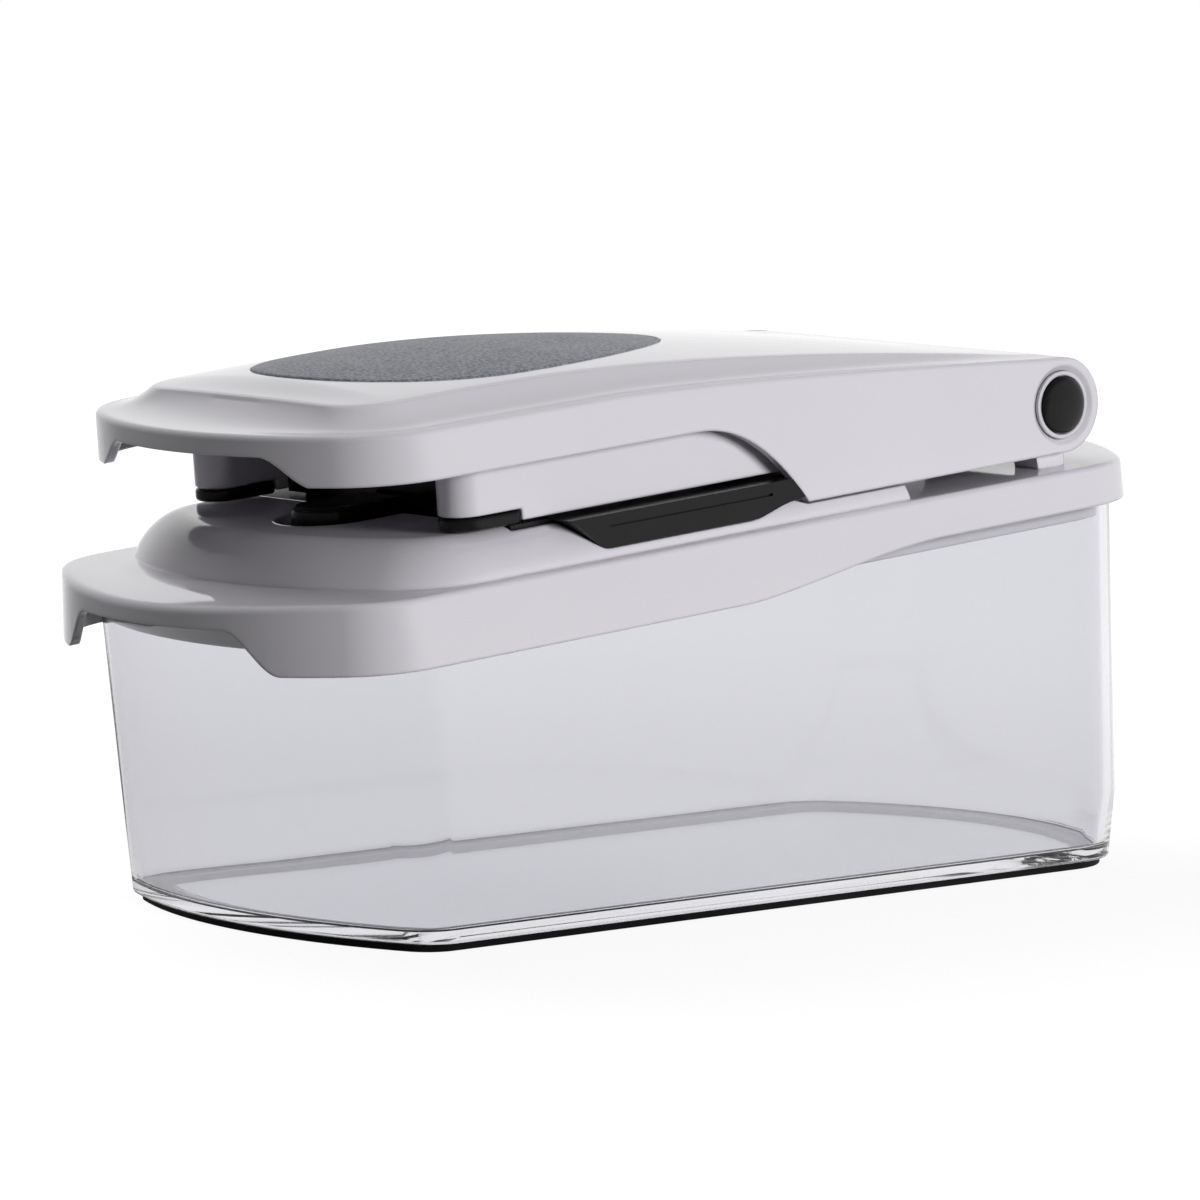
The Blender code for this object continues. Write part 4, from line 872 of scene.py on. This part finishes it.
def roof_thickness(x):
    """Thickness of the arm's top, less over the hinge."""
    return mix(ARM_ROOF, WALL, ridge_share(x))


def between(outer, inner, share, height):
    """A ring a share of the way between two outlines, at a height given by a function of x."""
    ring = []
    for (x0, y0), (x1, y1) in zip(outer, inner):
        x, y = mix(x0, x1, share), mix(y0, y1, share)
        ring.append((x, y, height(x)))
    return ring


def arm_loft(name, inset, lowered):
    """The arm's form from its plan up over shoulder and ridge to the crowned top, drawn in by
    inset and lowered by a function of x."""
    def level(share):
        """A height between shoulder and ridge."""
        return lambda x: mix(shoulder_height(x), ridge_height(x), share) - lowered(x)

    ridge = ridge_outline(inset)
    rings = [at_height(arm_outline(inset), -ARM_LIP_BOTTOM)]
    for inward, drop in quarter(ARM_EDGE_ROUND):
        ring = arm_outline(inset + inward)
        rings.append([(x, y, level(0.0)(x) - drop) for x, y in ring])
    shoulder = arm_outline(inset + ARM_EDGE_ROUND)
    for k in range(1, COVE_STEPS + 1):
        inward = COVE_END * k / COVE_STEPS
        rings.append(between(shoulder, ridge, inward, level(inward ** COVE_POWER)))
    top = lambda x, y: top_height(x, y) - lowered(x)
    for inward, sunk in RIDGE_EDGE:
        rings.append([(x, y, top(x, y) - sunk) for x, y in ridge_outline(inset + inward)])
    return crowned_loft(name, rings, top)


def crowned_loft(name, rings, height):
    """A skin over rings with a flat cap below and, above, rows of faces across the last ring."""
    bm = bmesh.new()
    loops = skin(bm, rings)
    bm.faces.new(loops[0])
    edge = loops[-1]
    middle = len(edge) // 2
    rows = []
    for k in range(1, middle):
        row = [edge[k]]
        for step in range(1, CROWN_STEPS):
            point = edge[k].co.lerp(edge[-k].co, step / CROWN_STEPS)
            row.append(bm.verts.new((point.x, point.y, height(point.x, point.y))))
        rows.append(row + [edge[-k]])
    for first, second in zip(rows, rows[1:]):
        for i in range(CROWN_STEPS):
            bm.faces.new((first[i], first[i + 1], second[i + 1], second[i]))
    for tip, row in ((edge[0], rows[0]), (edge[middle], rows[-1])):
        for i in range(CROWN_STEPS):
            bm.faces.new((tip, row[i], row[i + 1]))
    return mesh_from(bm, name)


def arm_side_profile(inset):
    """The arm seen from the side: lip, arch, skirt and the round end about the hinge."""
    far = ARM_FRONT - ARM_CORNER
    high = RIDGE_HEIGHT + ARM_CORNER
    low = -ARM_LIP_BOTTOM
    radius = ARM_END_RADIUS - inset
    centre = (HINGE_X, HINGE_Z)
    if inset:
        end = arc(centre, radius, -math.pi / 2, math.pi / 2, END_STEPS)
        return [(far, high), (far, low), (HINGE_X, low)] + end + [(HINGE_X, high)]
    start = -math.pi / 2 - math.acos((HINGE_Z - ARM_SKIRT_REAR) / radius)
    end = arc(centre, radius, start, math.pi / 2, END_STEPS)
    shares = [k / SWEEP_STEPS for k in range(SWEEP_STEPS + 1)]
    arch = [(mix(ARM_ARCH_START, ARM_ARCH_END, share), arch_z(share)) for share in shares]
    return [(far, high), (far, ARM_LIP_BOTTOM)] + arch + end + [(HINGE_X, high)]


def pad_slab(name, grow, below, above, swell=0.0):
    """An oval slab that follows the arm's top, from below it to above it, higher by the swell
    in its middle."""
    def ring(share, offset):
        """An oval ring on the top."""
        length, width = (PAD_HALF_LENGTH + grow) * share, (PAD_HALF_WIDTH + grow) * share
        points = []
        for k in range(ROUND_STEPS):
            angle = 2 * math.pi * k / ROUND_STEPS
            x = PAD_CENTRE + length * math.cos(angle)
            y = width * math.sin(angle) * (1 - PAD_TAPER * math.cos(angle))
            points.append((x, y, top_height(x, y) + offset))
        return points

    rings = [ring(share, -below) for share in PAD_RINGS]
    rings += [ring(share, above + swell * (1 - share ** 2)) for share in reversed(PAD_RINGS)]
    return lofted(name, rings)


def build_arm_shell():
    """The white arm: a hollow shell open below, arched at the sides, with a notched lip, a
    recess for the pad, bosses for the pusher and bores for the hinge bushes."""
    width = 2 * ARM_HALF_WIDTH
    arm = add(arm_loft("press_arm_moulding", 0.0, lambda _: 0.0))
    combine(arm, prism("arm_side", arm_side_profile(0.0), -width, width, "y"), "INTERSECT")
    hollow = add(arm_loft("arm_hollow", WALL, roof_thickness))
    combine(hollow, prism("hollow_side", arm_side_profile(WALL), -width, width, "y"), "INTERSECT")
    for x in (GRID_REAR - CELL / 2, GRID_FRONT + CELL / 2):
        for y in (-2 * CELL, 2 * CELL):
            ring = arc((x, y), BOSS_RADIUS, 0.0, 2 * math.pi, 2 * NOSE_STEPS)[:-1]
            combine(hollow, prism("boss", ring, PUSHER_TOP + GAP, RIDGE_HEIGHT))
    combine(arm, hollow)
    combine(arm, pad_slab("pad_recess", GAP, PAD_THICKNESS + GAP, 2 * PAD_THICKNESS))
    notch = notch_profile(ARM_NOTCH_TOP, ARM_LIP_BOTTOM - GAP)
    combine(arm, prism("arm_notch", notch, ARM_FRONT - WALL, RIDGE_FRONT, "x"))
    for side in (-1, 1):
        combine(arm, post_way_mesh(side))
        combine(arm, turned("cheek_bore", [
            (BUSH_COLLAR + GAP, ARM_HALF_WIDTH - 2 * WALL),
            (BUSH_COLLAR + GAP, FLANGE_FACE - GAP),
            (BUSH_FLANGE + GAP, FLANGE_FACE - GAP),
            (DISH_RADIUS, ARM_HALF_WIDTH),
            (DISH_RADIUS, ARM_HALF_WIDTH + WALL),
        ], side))
    settle(arm, "press_arm", "white_plastic", "arm_shell")


def post_way_mesh(side):
    """The slot in the arm's rear that lets a hinge post pass as the arm swings up."""
    high = HINGE_Z + ARM_END_RADIUS * math.sin(POST_WAY_ANGLE)
    inner = (HINGE_X - BUSH_RADIUS, side * (POST_INNER - 3 * GAP), -ARM_END_RADIUS)
    outer = (HINGE_X + 2 * ARM_END_RADIUS, side * (ARM_HALF_WIDTH - WALL), high)
    return box("post_way", inner, outer)


def build_grip_pad():
    """The grey soft pad on top of the arm."""
    slab = pad_slab("soft_pad", 0.0, PAD_THICKNESS, PAD_PROUD, PAD_SWELL)
    pad = bevel(add(slab), PAD_EDGE, EDGE_STEPS, 60)
    settle(pad, "press_arm", "grey_soft_touch", "grip_pad")


def build_hinge():
    """On each side a bush that turns in the lid's post, the pin through it and its black cap."""
    bottom = ARM_HALF_WIDTH - CAP_SEAT
    face = FLANGE_FACE + FLANGE_THICKNESS
    head = POST_INNER - GAP
    bush = [
        (PIN_RADIUS + GAP, POST_INNER + GAP), (BUSH_RADIUS, POST_INNER + GAP),
        (BUSH_RADIUS, POST_OUTER + GAP), (BUSH_COLLAR, POST_OUTER + GAP),
        (BUSH_COLLAR, FLANGE_FACE), (BUSH_FLANGE, FLANGE_FACE), (BUSH_FLANGE, face),
        (CAP_RADIUS + GAP, face), (CAP_RADIUS + GAP, bottom), (PIN_RADIUS + GAP, bottom),
    ]
    pin = [
        (PIN_HEAD_RADIUS, head - PIN_HEAD), (PIN_HEAD_RADIUS, head),
        (PIN_RADIUS, head), (PIN_RADIUS, bottom - GAP),
    ]
    cap = [(CAP_RADIUS, bottom + GAP), (CAP_RADIUS, ARM_HALF_WIDTH)]
    for k in range(1, DOME_STEPS):
        angle = math.pi / 2 * k / DOME_STEPS
        cap.append((CAP_RADIUS * math.cos(angle), ARM_HALF_WIDTH + CAP_DOME * math.sin(angle)))
    for side, word in ((-1, "near"), (1, "far")):
        place_on_arm(f"hinge_bush_{word}", turned("bush", bush, side, closed=True), "white_plastic")
        place_on_arm(f"hinge_pin_{word}", turned("pin", pin, side), "stainless_steel")
        place_on_arm(f"hinge_cap_{word}", turned("cap", cap, side), "black_plastic")


def place_on_arm(node, mesh, look, rounding=0.0):
    """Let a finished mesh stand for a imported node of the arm, with its sharp edges rounded."""
    mesh.name = f"{node}_fine"
    item = add(mesh)
    if rounding:
        bevel(item, rounding)
    settle(item, "press_arm", look, node)


def pusher_outline():
    """The pusher's plan: a U with round noses, open to the front."""
    radius = PUSHER_WALL / 2
    middle = (PUSHER_FRONT + radius, PUSHER_WALL_CENTRE)
    half = [(PUSHER_REAR - PUSHER_REAR_WALL, PUSHER_WALL_CENTRE - radius)]
    half += arc(middle, radius, 1.5 * math.pi, 0.5 * math.pi, NOSE_STEPS)
    half.append((PUSHER_REAR, PUSHER_WALL_CENTRE + radius))
    return half + [(x, -y) for x, y in reversed(half)]


def build_pusher_block():
    """The white housing under the arm: two walls with round noses, a rear wall and a roof."""
    housing = add(prism("pusher_housing", pusher_outline(), PUSHER_BOTTOM, PUSHER_TOP))
    ends = (ROOF_FRONT, PUSHER_REAR - PUSHER_REAR_WALL + WALL)
    levels = (PUSHER_TOP - PUSHER_ROOF, PUSHER_TOP)
    combine(housing, block("pusher_roof", ends, PUSHER_WALL_CENTRE, levels), "UNION")
    ends = (PUSHER_FRONT - PAST, PUSHER_FRONT + CAP_FOOT_LENGTH + GAP)
    levels = (PUSHER_BOTTOM - PAST, FOOT_TOP + GAP)
    combine(housing, block("foot_step", ends, PUSHER_WALL_CENTRE + PUSHER_WALL, levels))
    bevel(housing, PLASTIC_EDGE)
    settle(housing, "press_arm", "white_plastic", "pusher_block")


def build_pusher_feet():
    """The black feet under the noses, which land on the deck."""
    radius = PUSHER_WALL / 2
    rear = PUSHER_FRONT + CAP_FOOT_LENGTH
    nose = arc((PUSHER_FRONT + radius, 0.0), radius, 0.5 * math.pi, 1.5 * math.pi, NOSE_STEPS)
    for side, word in ((-1, "near"), (1, "far")):
        outline = [(rear, radius)] + nose + [(rear, -radius)]
        outline = [(x, y + side * PUSHER_WALL_CENTRE) for x, y in outline]
        foot = prism("foot", outline, DECK_HEIGHT + GAP, FOOT_TOP)
        place_on_arm(f"pusher_foot_{word}", foot, "black_plastic", FOOT_ROUND)


def cell_centres():
    """The middle of each cell of the blade grid."""
    for i in range(CELLS_LONG):
        for j in range(CELLS_ACROSS):
            yield GRID_FRONT + (i + 0.5) * CELL, -GRID_HALF_WIDTH + (j + 0.5) * CELL


def peg_field(name, side, low, high):
    """A square column in each cell, as one mesh."""
    bm = bmesh.new()
    for x, y in cell_centres():
        made = bmesh.ops.create_cube(bm, size=1.0)["verts"]
        bmesh.ops.scale(bm, verts=made, vec=(side, side, high - low))
        bmesh.ops.translate(bm, verts=made, vec=(x, y, (low + high) / 2))
    return mesh_from(bm, name)


def build_pusher_pegs():
    """The pegs that press through the cells, on their plate under the pusher's roof."""
    top = PUSHER_TOP - PUSHER_ROOF - GAP
    plate = block("peg_block", (GRID_FRONT, GRID_REAR), GRID_HALF_WIDTH, (top - PEG_PLATE, top))
    pegs = add(plate)
    combine(pegs, peg_field("peg_columns", PEG_SIDE, PEG_TIP, top - PEG_PLATE / 2), "UNION")
    bevel(pegs, PLASTIC_EDGE, 2)
    settle(pegs, "press_arm", "white_plastic", "pusher_pegs")


def build_cleaning_comb():
    """The black comb that slides off the pegs to clear them, with an apron in front."""
    top = PUSHER_TOP - PUSHER_ROOF - PEG_PLATE - 2 * GAP
    front = GRID_FRONT - 2 * GAP - COMB_APRON
    levels = (top - COMB_THICKNESS, top)
    comb = add(block("comb_plate", (front, GRID_REAR), GRID_HALF_WIDTH, levels))
    combine(comb, peg_field("comb_holes", PEG_SIDE + 2 * COMB_CLEARANCE, PEG_TIP, PUSHER_TOP))
    levels = (COMB_APRON_BOTTOM, top - COMB_THICKNESS / 2)
    apron = block("comb_apron", (front, front + COMB_APRON), GRID_HALF_WIDTH, levels)
    combine(comb, apron, "UNION")
    bevel(comb, PLASTIC_EDGE, 2)
    settle(comb, "press_arm", "black_plastic", "cleaning_comb")


def feed(tree, socket, value):
    """Set a socket to a value, or link another socket to it."""
    if isinstance(value, bpy.types.NodeSocket):
        tree.links.new(value, socket)
    else:
        socket.default_value = value


def make_node(tree, kind, inputs=(), **settings):
    """Add a shader node with its settings and its inputs, and return its outputs."""
    node = tree.nodes.new(f"ShaderNode{kind}")
    for name, value in settings.items():
        setattr(node, name, value)
    for name, value in dict(inputs).items():
        feed(tree, node.inputs[name], value)
    return node.outputs


class Look:
    """A procedural material in the making: its node tree and its main shader."""

    def __init__(self, name, colour, roughness, specular=0.5, metallic=0.0):
        self.base = colour
        material = looks[name] = bpy.data.materials.new(name)
        material.use_nodes = True
        self.tree = material.node_tree
        self.surface = self.tree.nodes["Principled BSDF"]
        self.put("Base Color", (*colour, 1.0))
        self.put("Roughness", roughness)
        self.put("Specular IOR Level", specular)
        self.put("Metallic", metallic)
        self.place = make_node(self.tree, "TexCoord")["Object"]

    def put(self, name, value):
        """Set or link one of the main shader's sockets."""
        feed(self.tree, self.surface.inputs[name], value)

    def stretched(self, scale):
        """Object coordinates scaled apart along x, y and z."""
        return make_node(self.tree, "Mapping", {"Scale": scale, "Vector": self.place})["Vector"]

    def noise(self, scale, detail=3.0, place=None):
        """A noise value of so many features to the metre."""
        inputs = {"Scale": scale, "Detail": detail, "Vector": place or self.place}
        return make_node(self.tree, "TexNoise", inputs)["Fac"]

    def colour(self, value, stops):
        """Let a value choose the base colour among colours along it."""
        ramp = self.tree.nodes.new("ShaderNodeValToRGB")
        ramp.color_ramp.elements[0].position = stops[0][0]
        ramp.color_ramp.elements[1].position = stops[-1][0]
        for position, _ in stops[1:-1]:
            ramp.color_ramp.elements.new(position)
        for element, (_, colour) in zip(ramp.color_ramp.elements, stops):
            element.color = (*colour, 1.0)
        feed(self.tree, ramp.inputs["Fac"], value)
        self.put("Base Color", ramp.outputs["Color"])

    def mottle(self, value, spread):
        """Let a value make the base colour a little darker or lighter."""
        shares = (0.3, 1 - spread), (0.5, 1.0), (0.7, 1 + spread)
        self.colour(value, [(at, [share * channel for channel in self.base]) for at, share in shares])

    def roughness(self, value, low, high):
        """Let a value from 0 to 1 move the roughness between two limits."""
        inputs = {"Value": value, "To Min": low, "To Max": high}
        self.put("Roughness", make_node(self.tree, "MapRange", inputs)["Result"])

    def soft_edges(self, radius):
        """A normal that turns smoothly over every sharp edge."""
        return make_node(self.tree, "Bevel", {"Radius": radius})["Normal"]

    def bump(self, value, strength, height, normal=None):
        """Raise the surface by a value, over a height in metres."""
        inputs = {"Strength": strength, "Distance": height, "Height": value}
        if normal:
            inputs["Normal"] = normal
        self.put("Normal", make_node(self.tree, "Bump", inputs)["Normal"])

    def lets_light_through(self):
        """Let lamps shine through the piece, as they do through a thin clear wall."""
        shadow = make_node(self.tree, "LightPath")["Is Shadow Ray"]
        open_way = make_node(self.tree, "BsdfTransparent")[0]
        inputs = {0: shadow, 1: self.surface.outputs[0], 2: open_way}
        either = make_node(self.tree, "MixShader", inputs)[0]
        feed(self.tree, self.tree.nodes["Material Output"].inputs["Surface"], either)


def make_looks():
    """The materials, named as the record's slots."""
    white = Look("white_plastic", WHITE, roughness=0.2, specular=0.8)
    white.mottle(white.noise(22.0), spread=0.012)
    white.roughness(white.noise(60.0, detail=5.0), low=0.02, high=0.09)
    edges = white.soft_edges(SOFT_EDGE)
    white.bump(white.noise(420.0, detail=2.0), strength=0.05, height=0.00008, normal=edges)
    clear = Look("clear_plastic", CLEAR, roughness=0.0)
    clear.put("Transmission Weight", 1.0)
    clear.put("IOR", CLEAR_INDEX)
    clear.roughness(clear.noise(35.0, detail=4.0), low=0.0, high=0.03)
    clear.bump(clear.noise(28.0, detail=1.0), strength=0.03, height=0.0003)
    clear.lets_light_through()
    black = Look("black_plastic", BLACK, roughness=0.2, specular=0.2)
    black.mottle(black.noise(90.0), spread=0.12)
    black.roughness(black.noise(140.0, detail=4.0), low=0.12, high=0.24)
    black.bump(black.noise(2600.0, detail=2.0), strength=0.12, height=0.00006)
    rubber = Look("dark_rubber", RUBBER, roughness=0.6, specular=0.1)
    rubber.mottle(rubber.noise(120.0), spread=0.2)
    rubber.roughness(rubber.noise(200.0, detail=4.0), low=0.5, high=0.75)
    rubber.bump(rubber.noise(1800.0, detail=2.0), strength=0.2, height=0.0001)
    pad = Look("grey_soft_touch", PAD_GREY, roughness=0.75, specular=0.6)
    speck = pad.noise(1300.0, detail=5.0)
    pad.colour(speck, [(0.38, PAD_DARK), (0.5, PAD_GREY), (0.62, PAD_LIGHT)])
    pad.roughness(pad.noise(90.0), low=0.42, high=0.58)
    pad.bump(speck, strength=0.45, height=0.00012)
    steel = Look("stainless_steel", STEEL, roughness=0.24, metallic=1.0)
    brushed = steel.noise(60.0, detail=6.0, place=steel.stretched((1.0, 1.0, 60.0)))
    steel.mottle(brushed, spread=0.08)
    steel.roughness(brushed, low=0.16, high=0.36)
    steel.bump(brushed, strength=0.1, height=0.00004)


def work_out(tree, operation, first, second):
    """A value made from two numbers or sockets."""
    return make_node(tree, "Math", {0: first, 1: second}, operation=operation)[0]


def map_range(tree, value, limits):
    """A value moved smoothly from the first two limits to the last two."""
    inputs = dict(zip(("From Min", "From Max", "To Min", "To Max"), limits), Value=value)
    return make_node(tree, "MapRange", inputs, interpolation_type="SMOOTHSTEP")["Result"]


def seen_white(tree, shader, strength, mirrored):
    """Add white to a shader where the camera or clear plastic looks at it, and some of it
    where a reflection does."""
    path = make_node(tree, "LightPath")
    direct = work_out(tree, "MAXIMUM", path["Is Camera Ray"], path["Is Transmission Ray"])
    reflected = work_out(tree, "MULTIPLY", path["Is Glossy Ray"], mirrored)
    total = work_out(tree, "MAXIMUM", direct, reflected)
    unscattered = work_out(tree, "LESS_THAN", path["Diffuse Depth"], 0.5)
    total = work_out(tree, "MULTIPLY", total, unscattered)
    glow = make_node(tree, "Emission", {"Strength": work_out(tree, "MULTIPLY", total, strength)})
    return make_node(tree, "AddShader", {0: shader, 1: glow[0]})[0]


def make_floor():
    """A pale floor that keeps the shadow."""
    bm = bmesh.new()
    bmesh.ops.create_grid(bm, x_segments=1, y_segments=1, size=FLOOR_REACH)
    floor = add(mesh_from(bm, "studio_floor"))
    material = bpy.data.materials.new("studio_floor")
    material.use_nodes = True
    tree = material.node_tree
    tree.nodes.remove(tree.nodes["Principled BSDF"])
    matt = make_node(tree, "BsdfDiffuse", {"Color": (*FLOOR_WHITE, 1.0)})[0]
    place = make_node(tree, "TexCoord")["Object"]
    away = make_node(tree, "VectorMath", {0: place}, operation="LENGTH")["Value"]
    glow = map_range(tree, away, (GLOW_START, GLOW_END, GLOW_NEAR, GLOW_FAR))
    towards = make_node(tree, "VectorMath", {0: place}, operation="NORMALIZE")["Vector"]
    shader = seen_white(tree, matt, glow, less_in_front(tree, towards))
    feed(tree, tree.nodes["Material Output"].inputs["Surface"], shader)
    floor.data.materials.append(material)


def less_in_front(tree, towards):
    """A share that falls towards the object's front, from a direction's x."""
    x = make_node(tree, "SeparateXYZ", {0: towards})["X"]
    return map_range(tree, x, (FRONT_START, FRONT_END, FRONT, 1.0))


def make_surround():
    """A white surround, less bright overhead and in front where it is mirrored."""
    world = bpy.context.scene.world = bpy.data.worlds.new("studio")
    world.use_nodes = True
    tree = world.node_tree
    sky = tree.nodes["Background"]
    sky.inputs["Color"].default_value = (1.0, 1.0, 1.0, 1.0)
    sky.inputs["Strength"].default_value = SKY
    towards = make_node(tree, "TexCoord")["Generated"]
    z = make_node(tree, "SeparateXYZ", {0: towards})["Z"]
    ceiling = map_range(tree, z, (CEILING_START, CEILING_END, 1.0, CEILING))
    mirrored = work_out(tree, "MULTIPLY", ceiling, less_in_front(tree, towards))
    shader = seen_white(tree, sky.outputs[0], 1.0 - SKY, mirrored)
    feed(tree, tree.nodes["World Output"].inputs["Surface"], shader)


def make_lamps():
    """Soft lamps that light the object but aren't mirrored in it."""
    for name, place, size, power in LAMPS:
        lamp = bpy.data.lights.new(name, "AREA")
        lamp.shape = "DISK"
        lamp.size = size
        lamp.energy = power
        item = add(lamp)
        item.location = place
        item.visible_camera = item.visible_glossy = item.visible_transmission = False
        item.rotation_euler = (AIM - Vector(place)).to_track_quat("-Z", "Y").to_euler()


def make_camera():
    """The photograph's view: a long lens from the front left, a little above."""
    level = math.cos(VIEW_DOWN)
    across, along_y = math.sin(VIEW_ROUND) * level, math.cos(VIEW_ROUND) * level
    forward = Vector((across, along_y, -math.sin(VIEW_DOWN)))
    camera = add(bpy.data.cameras.new("photograph_view"))
    camera.data.lens = LENS
    camera.data.sensor_width = SENSOR
    camera.location = AIM - forward * VIEW_DISTANCE
    camera.rotation_euler = forward.to_track_quat("-Z", "Y").to_euler()
    bpy.context.scene.camera = camera


def dress_blades():
    """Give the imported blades, which stay, their finish."""
    names = [f"long_blade_{k}" for k in range(1, CELLS_ACROSS)]
    names += [f"cross_blade_{k}" for k in range(1, CELLS_LONG)]
    for name in names:
        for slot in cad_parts[name].material_slots:
            slot.link = "OBJECT"
            slot.material = looks["stainless_steel"]


bpy.context.scene.view_settings.view_transform = "Standard"
cycles = bpy.context.scene.cycles
cycles.max_bounces = cycles.glossy_bounces = cycles.transmission_bounces = BOUNCES
make_looks()
make_camera()
make_floor()
make_surround()
make_lamps()
build_container()
build_foot_ring()
build_lid_frame()
build_blade_frame()
dress_blades()
build_arm_shell()
build_grip_pad()
build_hinge()
build_pusher_block()
build_pusher_feet()
build_pusher_pegs()
build_cleaning_comb()
for cutter in cutters:
    bpy.data.objects.remove(cutter)
